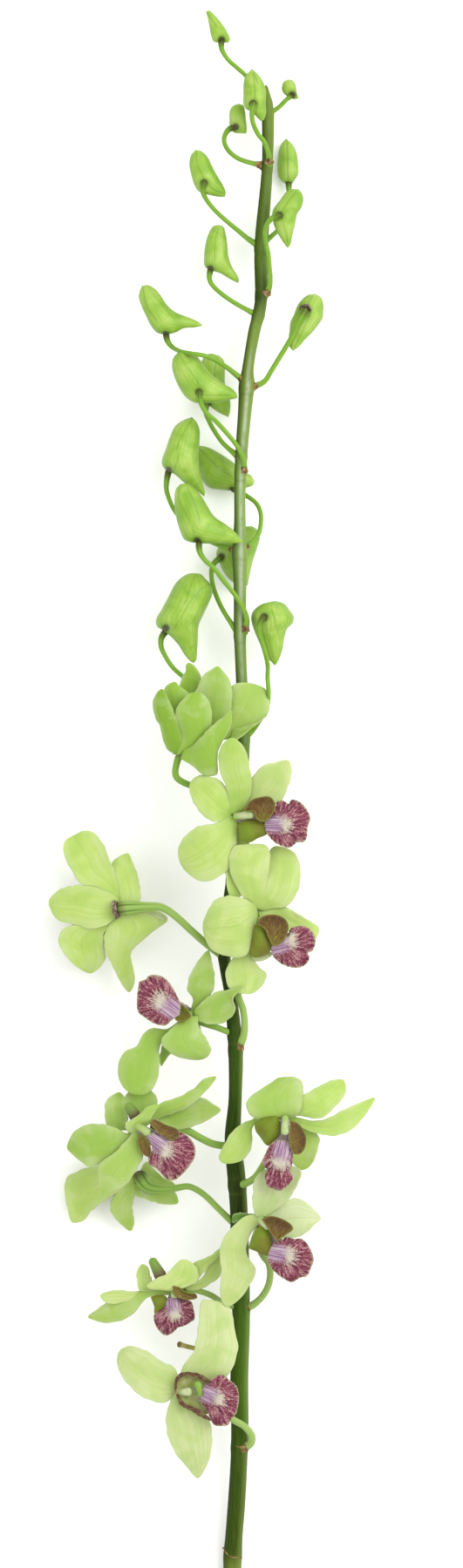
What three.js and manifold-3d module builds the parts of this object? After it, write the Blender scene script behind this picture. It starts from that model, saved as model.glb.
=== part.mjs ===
// A cut dendrobium orchid spray lying on a table: closed buds, opening buds and open flowers on one stem.
// Millimetres, +Z up. The stem runs along Y, with its tip towards +Y and its cut end towards -Y.
import * as THREE from 'three';
import { mergeVertices } from 'three/addons/utils/BufferGeometryUtils.js';
import Module from 'manifold-3d';

const wasm = await Module();
wasm.setup();

// Driving dimensions
const MM_PER_PIXEL = 0.31; // the reference picture's scale on the table
const PICTURE_MIDDLE = [265.5, 900]; // column and row straight below the eye
const EYE_HEIGHT = 3100; // above the table
const BOX_MIDDLE = [-7.3, -8.3]; // middle of the whole spray from the picture's middle
const SEAT_GAP = 0.3; // left between pieces that touch
const TEPAL_THICKNESS = 0.9;
const TEPAL_CUP = 0.18; // rise of a tepal's edges over half its width
const LIP_THICKNESS = 0.8;
const TROUGH_CUP = 0.6; // the side lobes stand up from the lip's trough
const TROUGH_SAG = -0.4; // of the trough's middle below the line from foot to waist
const FRONT_CUP = -0.12; // the front lobe's margin turns down
const FRONT_RISE = 0.8; // of the front lobe's middle above the line from waist to tip
const STALK_RADIUS = 0.95;
const STALK_FOOT_RADIUS = 1.25;
const OVARY_RADIUS = 1.45;
const HUB_RADIUS = 2.3;
const COLUMN_RADIUS = 1.3;
const SPUR_FOOT_SHARE = 1.2; // of the spur's stated radius
const SPUR_TIP_SHARE = 0.45;
const RACHIS_SIDES = 10;
const RACHIS_CUTS = [148, 24, -115]; // along Y, where the stem is divided into its lengths
const BUD_SIDES = 8;
const STALK_SIDES = 6;
const BLADE_LENGTH_STEPS = 4;
const BLADE_WIDTH_STEPS = 2;
const HUB_SIDES = 8;
const HUB_RINGS = 5;

const COLOURS = {
  rachis: 0x3f6b24,
  bud: 0x9ccd42,
  stalk: 0x86b93a,
  tepal: 0xc3df80,
  lip: 0xa8547a,
  stub: 0xb9b04a,
};

// The stem's middle line from tip to cut end: column, row, height of the middle, radius
const RACHIS = [
  [305, 97, 12, 0.5],
  [307, 125, 12, 2.0],
  [306.5, 190, 12.4, 1.95],
  [299.5, 283, 13.4, 2.4],
  [298.7, 349, 14.4, 2.2],
  [291.3, 381.5, 15.1, 2.1],
  [284.3, 423, 15.9, 2.05],
  [283, 441, 16.2, 2.7],
  [280.6, 473, 16.8, 2.4],
  [277.3, 514, 17.6, 2.2],
  [275.2, 556, 18.4, 2.05],
  [275, 600, 19.3, 2.05],
  [274.8, 636, 20, 2.7],
  [275.2, 669, 20.6, 2.3],
  [275, 727, 21.8, 2.1],
  [276, 757, 22.4, 2.0],
  [279.5, 843, 24, 2.2],
  [278, 879, 24.6, 2.3],
  [270, 985, 25.8, 2.4],
  [262, 1045, 26.2, 2.3],
  [257, 1096, 26.4, 2.1],
  [264, 1140, 26.5, 2.2],
  [270, 1206, 26.3, 2.6],
  [269.6, 1262, 25.5, 2.35],
  [266.9, 1308, 24.8, 2.9],
  [271, 1350, 24, 3.2],
  [273.9, 1392, 23, 3.1],
  [276.6, 1509, 20, 3.1],
  [274.4, 1583, 16.5, 3.2],
  [275, 1638, 13.5, 3.1],
  [274, 1676, 11.5, 3.0],
  [271, 1728, 8.5, 3.1],
  [268, 1766, 6.3, 3.1],
  [266.7, 1786, 5.2, 3.35],
  [266.4, 1800, 4.5, 3.2],
  [266, 1838, 3.2, 3.2],
];

// Closed buds from the top down. A body runs from the bud's tip to its spur: column, row, height, radius.
// A stalk runs from the bud's heel to the stem: column, row, height.
const BUDS = [
  {
    body: [[236.5, 12, 14, 0.3], [241, 20, 14, 1.5], [247, 31, 14, 2.6], [252, 41, 14, 3.0],
      [258, 46.5, 14, 1.3]],
    stalk: [[254, 44, 14], [254, 56, 14], [259, 66, 14], [270, 77, 13.5], [284, 90, 13], [303, 115, 12]],
  },
  {
    body: [[289, 79, 20, 0.4], [290, 90, 20, 2.5], [291.5, 104, 20, 3.7], [294, 117, 20, 3.4],
      [298, 128, 20, 1.9], [300, 137, 20, 0.7]],
    stalk: [[290, 120, 21], [287, 131, 22.5], [292, 145, 21], [302, 161, 19], [308, 177, 16.5],
      [307, 192, 12.4]],
  },
  {
    body: [[331.5, 92, 12, 0.9], [331.5, 97, 12, 2.4], [332, 103, 12, 2.5], [336, 108, 12, 1.3],
      [341, 111, 12, 0.6]],
    stalk: [[334, 108, 12], [322, 119, 12], [313, 127, 12], [306, 132, 12]],
  },
  {
    body: [[272, 119, 13, 0.6], [272, 127, 13, 2.4], [273, 136, 13, 3.1], [275, 145, 13, 2.8],
      [279, 151, 13, 1.3]],
    stalk: [[270, 145, 13], [259, 155, 11.5], [260, 170, 11], [272, 181, 11.5], [288, 188, 12],
      [305, 192, 12.4]],
  },
  {
    body: [[328, 160, 4, 0.4], [329, 170, 4, 2.7], [330, 183, 4, 3.75], [330, 198, 4, 2.9],
      [330, 211, 4.6, 1.1]],
    stalk: [[330, 206, 4.6], [331, 235, 5.5], [322, 260, 8.5], [300, 281, 13.2]],
  },
  {
    body: [[224, 172, 15, 0.5], [227, 182, 15, 2.6], [232, 195, 15, 3.5], [238, 207, 15, 3.9],
      [247, 217, 15, 2.5], [257, 224, 15, 0.8]],
    stalk: [[235, 211, 15], [235, 225, 14.3], [245, 240, 13.8], [263, 256, 13.4], [283, 273, 13.3],
      [299, 284, 13.4]],
  },
  {
    body: [[342, 217, 22, 0.6], [338, 226, 22, 2.8], [332, 240, 22, 3.6], [329, 252, 22, 3.2],
      [330, 267, 22, 2.1], [331, 282, 22, 0.7]],
    stalk: [[320, 247, 23.5], [307, 253, 24.5], [303, 267, 23], [306, 291, 21], [310, 316, 18.5],
      [303, 338, 14.2]],
  },
  {
    body: [[249.5, 259, 14, 0.5], [248, 269, 14, 2.8], [247.5, 283, 14, 4.0], [249, 297, 14, 4.0],
      [257, 309, 14, 2.7], [266, 317, 14, 1.6], [273, 324, 14, 0.6]],
    stalk: [[243, 308, 14], [239.5, 323, 14], [249, 334, 14], [268, 346, 14.2], [296, 362, 14.7]],
  },
  {
    body: [[164, 328, 16, 0.6], [171, 339, 16, 3.3], [179, 353, 16, 4.5], [190, 366, 16, 4.6],
      [205, 370, 16, 3.3], [218, 372, 16, 1.8], [231, 372.5, 16, 0.6]],
    stalk: [[190, 380, 15.5], [193, 396, 14], [204, 403, 13], [223, 405, 13], [240, 411, 14],
      [257, 421, 15.2], [282, 439, 16.2]],
  },
  {
    body: [[363, 338, 16, 0.8], [359, 348, 16, 3.7], [355, 362, 16, 4.9], [350, 377, 16, 4.2],
      [343, 390, 16, 2.7], [337, 401, 16, 0.7]],
    stalk: [[351, 362, 20.5], [343, 368, 22], [334, 383, 20.5], [326, 401, 18.6], [313, 423, 17],
      [285, 443, 16.2]],
  },
  {
    body: [[209, 404, 22, 0.6], [211, 414, 22, 3.7], [219, 430, 22, 5.2], [229, 443, 22, 5.0],
      [245, 450, 22, 3.2], [258, 454, 22, 1.8], [270, 456, 22, 0.7]],
    stalk: [[228, 450, 23], [231, 465, 24], [246, 481, 24], [265, 499, 23], [278, 519, 21.4],
      [279, 541, 18.2]],
  },
  {
    body: [[250, 407, 7, 0.5], [248, 417, 7, 2.7], [246, 432, 7, 3.5], [250, 450, 7, 3.4],
      [257, 465, 7, 2.3], [262, 477, 7, 0.7]],
    stalk: [[245, 455, 8], [235, 470, 9.5], [248, 489, 12.5], [261, 506, 15.5], [276, 522, 17.7]],
  },
  {
    body: [[219, 481, 16, 0.7], [214, 491, 16, 3.7], [208, 507, 16, 5.6], [206, 525, 16, 6.1],
      [216, 542, 16, 4.6], [226, 556, 16, 2.8], [233, 568, 16, 0.8]],
    stalk: [[196, 537, 15], [190, 553, 13], [191, 570, 12.3], [199, 584, 12], [215, 604, 12.5],
      [240, 621, 16], [272, 633, 19.9]],
  },
  {
    body: [[230, 514, 5.6, 0.8], [236, 525, 5.6, 4.0], [247, 539, 5.6, 5.4], [262, 549, 5.6, 4.7],
      [277, 552, 5.6, 2.5], [290, 552, 5.6, 1.0]],
    stalk: [[266, 559, 6.5], [284, 569, 8.5], [298, 584, 12], [300, 602, 15.5], [293, 620, 18.4],
      [278, 634, 20]],
  },
  {
    body: [[208, 556, 25, 0.7], [211, 567, 25, 3.7], [217, 583, 25, 5.3], [226, 600, 25, 5.5],
      [241, 610, 25, 3.8], [259, 617, 25, 2.2], [277, 623, 25, 0.7]],
    stalk: [[227, 617, 26], [229, 633, 27.2], [240, 650, 27.5], [256, 669, 27], [270, 689, 26.4],
      [281, 706, 25.3], [278, 727, 21.9]],
  },
  {
    body: [[291, 605, 6.6, 0.8], [285, 617, 6.6, 3.3], [274, 632, 6.6, 4.8], [269, 645, 6.6, 4.8],
      [272, 658, 6.6, 3.0], [281, 671, 6.6, 0.9]],
    stalk: [[258, 642, 7.5], [245, 648, 9.5], [242, 666, 12.5], [247, 686, 15.6], [259, 709, 19.3],
      [274, 728, 21.8]],
  },
  {
    body: [[224, 660, 20, 1.3], [220, 671, 20, 4.7], [212, 687, 20, 6.2], [206, 704, 20, 6.4],
      [209, 722, 20, 5.2], [216, 740, 20, 2.9], [221, 758, 20, 0.8]],
    stalk: [[192, 718, 19], [184, 734, 18], [187, 754, 17.5], [196, 768, 17.5], [210, 780, 18],
      [240, 800, 20.5], [276, 818, 23.5]],
  },
  {
    body: [[311, 691, 20, 1.3], [312, 701, 20, 4.8], [313, 714, 20, 5.8], [314, 730, 20, 4.1],
      [315, 745, 20, 2.5], [314, 762, 20, 0.8]],
    stalk: [[304, 707, 25], [297, 715, 26.8], [298, 731, 26.8], [303, 749, 25.6], [307, 768, 24.5],
      [308, 789, 23.5], [303, 815, 22.8], [292, 835, 23.2], [280, 848, 24.1]],
  },
];

// Buds that are just opening and open flowers, each from the top down. A hub is where the tepals meet.
// A tepal is a blade from the hub by its middle to its tip, with its width; turn tips its right edge up.
const OPENINGS = [
  {
    hub: [208, 866, 33],
    tepals: [
      { middle: [187, 828, 38], tip: [187, 790, 36], width: 9.5, turn: -30, cup: 0.4 },
      { middle: [219, 832, 46], tip: [228, 796, 46], width: 11, cup: 0.35 },
      { middle: [240, 850, 42], tip: [264, 815, 40], width: 13 },
      { middle: [238, 815, 35], tip: [250, 767, 36], width: 14 },
      { middle: [212, 812, 29], tip: [215, 762, 27.5], width: 8.5 },
    ],
    spur: [241, 885, 35.5, 2.6],
    stalk: [[199, 884, 31], [202, 896, 30], [216, 903, 29.4], [245, 912, 27.5], [276, 925, 25.2]],
  },
  {
    hub: [266, 848, 31.5],
    tepals: [
      { middle: [284, 817, 33], tip: [299, 790, 33], width: 15 },
      { middle: [271, 812, 32], tip: [277, 784, 32], width: 9 },
      { middle: [289, 834, 33], tip: [307, 818, 32], width: 8 },
      { middle: [274, 830, 29.5], tip: [284, 812, 29.5], width: 9 },
      { middle: [268, 826, 29.5], tip: [270, 804, 29.5], width: 9 },
    ],
    spur: [274, 858, 31, 2.2],
    stalk: [[266, 862, 31], [270, 885, 29], [276, 907, 25.2]],
  },
];

const FLOWERS = [
  {
    hub: [268, 935, 37],
    tepals: [
      { middle: [266, 890, 43], tip: [268, 843, 45], width: 11.8 },
      { middle: [245, 913, 41], tip: [221, 893, 35], width: 12 },
      { middle: [237, 968, 40], tip: [213, 1001, 31], width: 15 },
      { middle: [302, 903, 39], tip: [329, 874, 45], width: 12.5 },
      { middle: [276, 962, 35.5], tip: [281, 990, 34.5], width: 12 },
    ],
    spur: [288, 962, 36, 1.8],
    column: [289, 933, 43],
    lip: {
      foot: [271, 937, 39], waist: [307, 940, 45], tip: [353, 941, 43],
      sideWidth: 12, frontWidth: 16.5,
    },
    stalk: [[268, 945, 35], [262, 968, 32], [264, 992, 28.5], [268, 1008, 26]],
  },
  {
    hub: [296, 1045, 37],
    tepals: [
      { middle: [284, 1006, 41], tip: [285, 967, 41], width: 13.5 },
      { middle: [318, 1010, 41], tip: [331, 972, 36], width: 13 },
      { middle: [262, 1060, 42], tip: [234, 1064, 34], width: 19 },
      { middle: [334, 1052, 38], tip: [366, 1066, 31], width: 9.5 },
      { middle: [286, 1098, 37], tip: [281, 1138, 37], width: 13 },
    ],
    spur: [309, 1095, 37, 1.7],
    column: [306, 1063, 43],
    lip: {
      foot: [298, 1050, 39], waist: [314, 1079, 45], tip: [359, 1090, 43],
      sideWidth: 11, frontWidth: 15,
    },
    stalk: [[291, 1062, 34], [281, 1100, 32.5], [273, 1140, 31.5], [278.5, 1160, 30.5], [280, 1186, 29],
      [272, 1206, 26.3]],
  },
  {
    hub: [136, 1044, 22],
    tepals: [
      { middle: [96, 1038, 20], tip: [56, 1035, 13], width: 13 },
      { middle: [108, 992, 19], tip: [88, 957, 12], width: 14 },
      { middle: [146, 1008, 20], tip: [147, 981, 15], width: 8.7 },
      { middle: [106, 1081, 18], tip: [93, 1113, 10], width: 14.5 },
      { middle: [139, 1092, 18], tip: [148, 1138, 10], width: 10 },
    ],
    spur: [192, 1057, 18.5, 2.4],
    column: [124, 1051, 13],
    lip: {
      foot: [133, 1048, 17.5], waist: [118, 1060, 7], tip: [92, 1082, 0.9],
      sideWidth: 10, frontWidth: 14,
    },
    stalk: [[152, 1042, 24.5], [173, 1041, 25], [186, 1042, 25], [201, 1052, 25], [222, 1072, 25.5],
      [256, 1098, 26.4]],
  },
  {
    hub: [222, 1166, 31],
    tepals: [
      { middle: [229, 1128, 31], tip: [239, 1091, 34], width: 9.5 },
      { middle: [248, 1153, 35], tip: [275, 1136, 39], width: 10.5 },
      { middle: [211, 1190, 38], tip: [228, 1212, 33], width: 13 },
      { middle: [172, 1204, 33], tip: [153, 1251, 33], width: 13.5 },
      { middle: [196, 1192, 28], tip: [190, 1222, 27.5], width: 8 },
    ],
    spur: [238, 1186, 29.5, 1.7],
    column: [210, 1172, 36],
    lip: {
      foot: [218, 1165, 34], waist: [203, 1160, 38], tip: [159, 1136, 38],
      sideWidth: 10, frontWidth: 17,
    },
    stalk: [[234, 1171, 30], [250, 1177, 28.5], [268, 1188, 26.4]],
  },
  {
    hub: [162, 1291, 33],
    tepals: [
      { middle: [118, 1309, 36], tip: [79, 1312, 29], width: 13.5 },
      { middle: [140, 1333, 38], tip: [117, 1368, 33], width: 12.5 },
      { middle: [151, 1273, 29], tip: [150, 1255, 27], width: 16 },
      { middle: [212, 1262, 33], tip: [247, 1236, 35], width: 6 },
      { middle: [213, 1278, 30.5], tip: [252, 1274, 31], width: 10.5 },
    ],
    spur: [141, 1264, 31.5, 1.8],
    column: [173, 1303, 39],
    lip: {
      foot: [166, 1296, 36], waist: [180, 1309, 41], tip: [208, 1348, 43],
      sideWidth: 11, frontWidth: 16.5,
    },
    stalk: [[176, 1294, 31], [206, 1297, 28.5], [236, 1309, 27], [268, 1317, 24.7]],
  },
  {
    hub: [156, 1358, 13],
    tepals: [
      { middle: [114, 1362, 10], tip: [80, 1386, 4.5], width: 14 },
      { middle: [137, 1386, 10], tip: [150, 1412, 5], width: 8 },
      { middle: [180, 1374, 11.5], tip: [203, 1381, 10], width: 7 },
      { middle: [180, 1346, 11.5], tip: [198, 1350, 10], width: 8 },
      { middle: [139, 1338, 10], tip: [126, 1323, 8], width: 11 },
    ],
    spur: [170, 1374, 10, 1.8],
    column: [148, 1363, 7],
    lip: {
      foot: [154, 1360, 9.5], waist: [143, 1367, 4.5], tip: [112, 1378, 0.9],
      sideWidth: 8, frontWidth: 13,
    },
    stalk: [[170, 1363, 15], [200, 1363, 16.5], [213, 1361, 17.5], [235, 1371, 19.5], [254, 1390, 21.5],
      [274, 1410, 22.6]],
  },
  {
    hub: [328, 1283, 40],
    tepals: [
      { middle: [318, 1260, 42], tip: [316, 1238, 38], width: 19 },
      { middle: [366, 1265, 41], tip: [396, 1243, 35], width: 11.5 },
      { middle: [386, 1287, 38], tip: [428, 1261, 30], width: 9.5 },
      { middle: [272, 1307, 37], tip: [252, 1332, 34.5], width: 9 },
      { middle: [353, 1312, 36], tip: [346, 1340, 33], width: 10 },
    ],
    spur: [300, 1302, 38, 1.8],
    column: [327, 1304, 46],
    lip: {
      foot: [326, 1285, 42], waist: [319, 1314, 47], tip: [320, 1366, 45],
      sideWidth: 14, frontWidth: 11.5,
    },
    stalk: [[322, 1296, 37], [308, 1325, 34.5], [296, 1345, 32], [285, 1357, 28.5], [272, 1361, 23.8]],
  },
  {
    hub: [299, 1398, 37],
    tepals: [
      { middle: [315, 1368, 39], tip: [321, 1340, 38.5], width: 14.5 },
      { middle: [336, 1394, 37], tip: [367, 1399, 31], width: 13 },
      { middle: [260, 1440, 38], tip: [262, 1498, 33.5], width: 10.5 },
      { middle: [283, 1392, 33], tip: [268, 1396, 32], width: 6 },
      { middle: [304, 1420, 34], tip: [306, 1440, 33.5], width: 8 },
    ],
    spur: [290, 1430, 37, 1.8],
    column: [307, 1410, 42],
    lip: {
      foot: [301, 1403, 39], waist: [313, 1431, 44], tip: [358, 1447, 43],
      sideWidth: 14, frontWidth: 16,
    },
    stalk: [[297, 1408, 34], [297, 1432, 31.5], [306, 1450, 29.5], [310, 1467, 27.5], [304, 1486, 24.5],
      [276, 1502, 20.2]],
  },
  {
    hub: [205, 1474, 27],
    tepals: [
      { middle: [150, 1488, 24], tip: [103, 1511, 14], width: 9.5 },
      { middle: [176, 1463, 26], tip: [163, 1452, 24], width: 7 },
      { middle: [210, 1459, 31], tip: [216, 1446, 31], width: 9 },
      { middle: [234, 1460, 28], tip: [257, 1437, 29], width: 9 },
      { middle: [190, 1464, 22], tip: [180, 1456, 19], width: 7 },
    ],
    spur: [172, 1441, 26, 1.8],
    column: [200, 1487, 29],
    lip: {
      foot: [203, 1478, 27.5], waist: [200, 1497, 28], tip: [198, 1533, 22],
      sideWidth: 11, frontWidth: 14.5,
    },
    stalk: [[216, 1476, 26], [232, 1484, 24.6], [254, 1495, 22.3], [276, 1505, 20.1]],
  },
  {
    hub: [206, 1590, 31],
    tepals: [
      { middle: [170, 1580, 31], tip: [136, 1555, 23], width: 13 },
      { middle: [216, 1641, 31], tip: [228, 1696, 20], width: 15.5 },
      { middle: [243, 1543, 34], tip: [247, 1498, 33], width: 13 },
      { middle: [226, 1606, 29], tip: [243, 1618, 29], width: 9 },
      { middle: [185, 1578, 28], tip: [165, 1565, 26.5], width: 9 },
    ],
    spur: [192, 1600, 27.5, 1.8],
    column: [228, 1595, 36.5],
    lip: {
      foot: [210, 1592, 33], waist: [232, 1601, 38], tip: [274, 1608, 37],
      sideWidth: 12, frontWidth: 16.5,
    },
    stalk: [[214, 1597, 28], [245, 1615, 24.5], [268, 1628, 22.5], [284, 1636, 20.5], [293, 1650, 17.5],
      [288, 1661, 14.5], [276, 1662, 12.3]],
  },
];

// A stalk that lost its flower, from the stem to its broken end: column, row, height, radius
const BROKEN_STALK = [
  [275, 1556, 17.8, 1.3],
  [250, 1550, 20.5, 1.1],
  [223, 1547.5, 21, 1.1],
  [203, 1542.5, 21.5, 1.2],
];

// A point read in the picture, moved to its height along the line of sight
function place([column, row, height]) {
  const shrink = MM_PER_PIXEL * (1 - height / EYE_HEIGHT);
  return new THREE.Vector3(
    (column - PICTURE_MIDDLE[0]) * shrink - BOX_MIDDLE[0],
    (PICTURE_MIDDLE[1] - row) * shrink - BOX_MIDDLE[1],
    height,
  );
}

function closedGeometry(points, triangles) {
  const geometry = new THREE.BufferGeometry();
  const coordinates = points.flatMap((point) => point.toArray());
  geometry.setAttribute('position', new THREE.Float32BufferAttribute(coordinates, 3));
  geometry.setIndex(triangles.flat());
  return geometry;
}

function solid(geometry) {
  const bare = geometry.clone();
  bare.deleteAttribute('normal');
  bare.deleteAttribute('uv');
  const merged = mergeVertices(bare, 1e-4);
  const vertProperties = new Float32Array(merged.attributes.position.array);
  const triVerts = new Uint32Array(merged.index.array);
  return new wasm.Manifold(new wasm.Mesh({ numProp: 3, vertProperties, triVerts }));
}

// A tube of round section that follows a smooth curve, with its own radius at each point and flat ends
function tube(points, sides, grow = 0) {
  const curve = new THREE.CatmullRomCurve3(points.map(place), false, 'centripetal');
  const steps = points.length - 1;
  const vertices = [];
  const triangles = [];
  let across = new THREE.Vector3(0, 0, 1);
  for (let step = 0; step <= steps; step += 1) {
    const along = curve.getTangent(step / steps);
    across = across.clone().addScaledVector(along, -across.dot(along)).normalize();
    const beside = new THREE.Vector3().crossVectors(along, across);
    const radius = points[step][3] + grow;
    const middle = curve.getPoint(step / steps);
    for (let side = 0; side < sides; side += 1) {
      const angle = (side / sides) * Math.PI * 2;
      const rim = middle.clone()
        .addScaledVector(across, radius * Math.cos(angle))
        .addScaledVector(beside, radius * Math.sin(angle));
      vertices.push(rim);
    }
  }
  for (let step = 0; step < steps; step += 1) {
    for (let side = 0; side < sides; side += 1) {
      const here = step * sides + side;
      const next = step * sides + ((side + 1) % sides);
      triangles.push([here, next, next + sides], [here, next + sides, here + sides]);
    }
  }
  const first = vertices.push(curve.getPoint(0)) - 1;
  const last = vertices.push(curve.getPoint(1)) - 1;
  for (let side = 0; side < sides; side += 1) {
    const next = (side + 1) % sides;
    triangles.push([first, next, side], [last, steps * sides + side, steps * sides + next]);
  }
  return solid(closedGeometry(vertices, triangles));
}

// Half the width of a petal at a share u of its length: a narrow foot, a broad middle and a rounded tip
function petalShape(u) {
  const widest = 0.56;
  const foot = 0.28;
  const tip = 0.12;
  if (u < widest) return foot + (1 - foot) * Math.sin((Math.PI / 2) * (u / widest));
  return Math.max(Math.sqrt(1 - ((u - widest) / (1 - widest)) ** 2), tip);
}

// Half the width of the trough between a lip's side lobes, and of its frilled front lobe
const troughShape = (u) => 0.45 + 0.55 * Math.sin(Math.PI * Math.min(u * 1.1, 1));
const frontShape = (u) => Math.max(0.4, Math.sin(Math.PI * (0.14 + 0.8 * u)));

// A thin blade along an arc through three points. Its edges rise by cup times half its width.
function blade(form, grow = 0) {
  const { width, turn = 0, cup = TEPAL_CUP, shape = petalShape, thickness = TEPAL_THICKNESS } = form;
  const [start, through, end] = [form.foot, form.middle, form.tip].map(place);
  const pull = through.clone().multiplyScalar(2).addScaledVector(start, -0.5).addScaledVector(end, -0.5);
  const arc = new THREE.QuadraticBezierCurve3(start, pull, end);
  const upper = [];
  const lower = [];
  for (let i = 0; i <= BLADE_LENGTH_STEPS; i += 1) {
    const u = i / BLADE_LENGTH_STEPS;
    const along = arc.getTangent(u);
    const flatRight = new THREE.Vector3().crossVectors(along, new THREE.Vector3(0, 0, 1)).normalize();
    const right = flatRight.applyAxisAngle(along, THREE.MathUtils.degToRad(-turn));
    const face = new THREE.Vector3().crossVectors(right, along);
    const half = (width / 2) * shape(u) + grow;
    const longer = grow * (i === 0 ? -1 : Number(i === BLADE_LENGTH_STEPS));
    for (let j = 0; j <= BLADE_WIDTH_STEPS; j += 1) {
      const v = (2 * j) / BLADE_WIDTH_STEPS - 1;
      const point = arc.getPoint(u)
        .addScaledVector(right, v * half)
        .addScaledVector(face, cup * v * v * half)
        .addScaledVector(along, longer);
      upper.push(point.clone().addScaledVector(face, thickness / 2 + grow));
      lower.push(point.clone().addScaledVector(face, -thickness / 2 - grow));
    }
  }
  return solid(closedGeometry([...upper, ...lower], bladeFaces()));
}

function bladeFaces() {
  const row = BLADE_WIDTH_STEPS + 1;
  const below = row * (BLADE_LENGTH_STEPS + 1);
  const triangles = [];
  for (let i = 0; i < BLADE_LENGTH_STEPS; i += 1) {
    for (let j = 0; j < BLADE_WIDTH_STEPS; j += 1) {
      const a = i * row + j;
      const [b, c, d] = [a + 1, a + row + 1, a + row];
      triangles.push([a, b, c], [a, c, d]);
      triangles.push([a + below, c + below, b + below], [a + below, d + below, c + below]);
    }
  }
  const rim = [];
  for (let j = 0; j < BLADE_WIDTH_STEPS; j += 1) rim.push(j);
  for (let i = 0; i < BLADE_LENGTH_STEPS; i += 1) rim.push(i * row + BLADE_WIDTH_STEPS);
  for (let j = BLADE_WIDTH_STEPS; j > 0; j -= 1) rim.push(BLADE_LENGTH_STEPS * row + j);
  for (let i = BLADE_LENGTH_STEPS; i > 0; i -= 1) rim.push(i * row);
  rim.forEach((a, index) => {
    const b = rim[(index + 1) % rim.length];
    triangles.push([a + below, b + below, b], [a + below, b, a]);
  });
  return triangles;
}

function ball(centre, radius) {
  const geometry = new THREE.SphereGeometry(radius, HUB_SIDES, HUB_RINGS);
  geometry.translate(...place(centre).toArray());
  return solid(geometry);
}

const union = (solids) => solids.reduce((whole, next) => whole.add(next));

function largestBody(whole) {
  return whole.decompose().reduce((best, body) => (body.volume() > best.volume() ? body : best));
}

function rachis(grow = 0) {
  return tube(RACHIS, RACHIS_SIDES, grow);
}

// The stem's lengths from the tip down, with a seat's gap at each cut
function rachisLengths() {
  let rest = rachis();
  const lengths = RACHIS_CUTS.map((cut) => {
    const upper = rest.trimByPlane([0, 1, 0], cut + SEAT_GAP / 2);
    rest = rest.trimByPlane([0, -1, 0], SEAT_GAP / 2 - cut);
    return upper;
  });
  return [...lengths, rest];
}

// A stalk given from the flower to the stem: wide at the ovary, thin in the middle, wider at its foot
function stalkTube(points, endRadius, grow = 0) {
  const last = points.length - 1;
  const radiusAt = (index) => {
    if (index === 0) return endRadius;
    return index === last ? STALK_FOOT_RADIUS : STALK_RADIUS;
  };
  return tube(points.map((point, index) => [...point, radiusAt(index)]), STALK_SIDES, grow);
}

function brokenStalk() {
  return largestBody(tube(BROKEN_STALK, STALK_SIDES).subtract(rachis(SEAT_GAP)));
}

function bud({ body, stalk }) {
  const whole = tube(body, BUD_SIDES).add(stalkTube(stalk, OVARY_RADIUS));
  return largestBody(whole.subtract(rachis(SEAT_GAP)));
}

// The five tepals, their shared spur and the column, grown together where they meet
function flowerHead({ hub, tepals, spur, column }, grow = 0) {
  const pieces = tepals.map((tepal) => blade({ foot: hub, ...tepal }, grow));
  pieces.push(ball(hub, HUB_RADIUS + grow));
  const spurRadius = spur[3];
  const spurFoot = [...hub, spurRadius * SPUR_FOOT_SHARE];
  const spurTip = [...spur.slice(0, 3), spurRadius * SPUR_TIP_SHARE];
  pieces.push(tube([spurFoot, spurTip], STALK_SIDES, grow));
  if (column) pieces.push(tube([[...hub, COLUMN_RADIUS], [...column, COLUMN_RADIUS]], STALK_SIDES, grow));
  return union(pieces);
}

function lip(flower) {
  const { foot, waist, tip, sideWidth, frontWidth } = flower.lip;
  const halfway = (a, b, rise) => a.map((value, axis) => (value + b[axis]) / 2 + (axis === 2 ? rise : 0));
  const sideLobes = blade({
    foot, middle: halfway(foot, waist, TROUGH_SAG), tip: waist, width: sideWidth, cup: TROUGH_CUP,
    shape: troughShape, thickness: LIP_THICKNESS,
  });
  const frontLobe = blade({
    foot: waist, middle: halfway(waist, tip, FRONT_RISE), tip, width: frontWidth, cup: FRONT_CUP,
    shape: frontShape, thickness: LIP_THICKNESS,
  });
  return largestBody(sideLobes.add(frontLobe).subtract(flowerHead(flower, SEAT_GAP)));
}

function flowerStalk(flower) {
  const whole = stalkTube([flower.hub, ...flower.stalk], OVARY_RADIUS);
  return largestBody(whole.subtract(flowerHead(flower, SEAT_GAP)).subtract(rachis(SEAT_GAP)));
}

const spray = new THREE.Group();

function addPiece(name, whole, colour, roughness = 0.55) {
  const { vertProperties, triVerts } = whole.getMesh();
  const geometry = new THREE.BufferGeometry();
  geometry.setAttribute('position', new THREE.BufferAttribute(new Float32Array(vertProperties), 3));
  geometry.setIndex(new THREE.BufferAttribute(new Uint32Array(triVerts), 1));
  geometry.computeVertexNormals();
  const material = new THREE.MeshStandardMaterial({ color: colour, roughness, metalness: 0 });
  const mesh = new THREE.Mesh(geometry, material);
  mesh.name = name;
  spray.add(mesh);
}

const numbered = (kind, index) => `${kind}_${String(index + 1).padStart(2, '0')}`;

rachisLengths().forEach((length, index) => addPiece(numbered('rachis', index), length, COLOURS.rachis, 0.4));
addPiece('broken_stalk', brokenStalk(), COLOURS.stub);
BUDS.forEach((shape, index) => addPiece(numbered('bud', index), bud(shape), COLOURS.bud, 0.45));
OPENINGS.forEach((shape, index) => {
  const name = numbered('opening', index);
  addPiece(`${name}_tepals`, flowerHead(shape), COLOURS.tepal);
  addPiece(`${name}_stalk`, flowerStalk(shape), COLOURS.stalk);
});
FLOWERS.forEach((shape, index) => {
  const name = numbered('flower', index);
  addPiece(`${name}_tepals`, flowerHead(shape), COLOURS.tepal);
  addPiece(`${name}_lip`, lip(shape), COLOURS.lip);
  addPiece(`${name}_stalk`, flowerStalk(shape), COLOURS.stalk);
});

export default spray;
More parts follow.
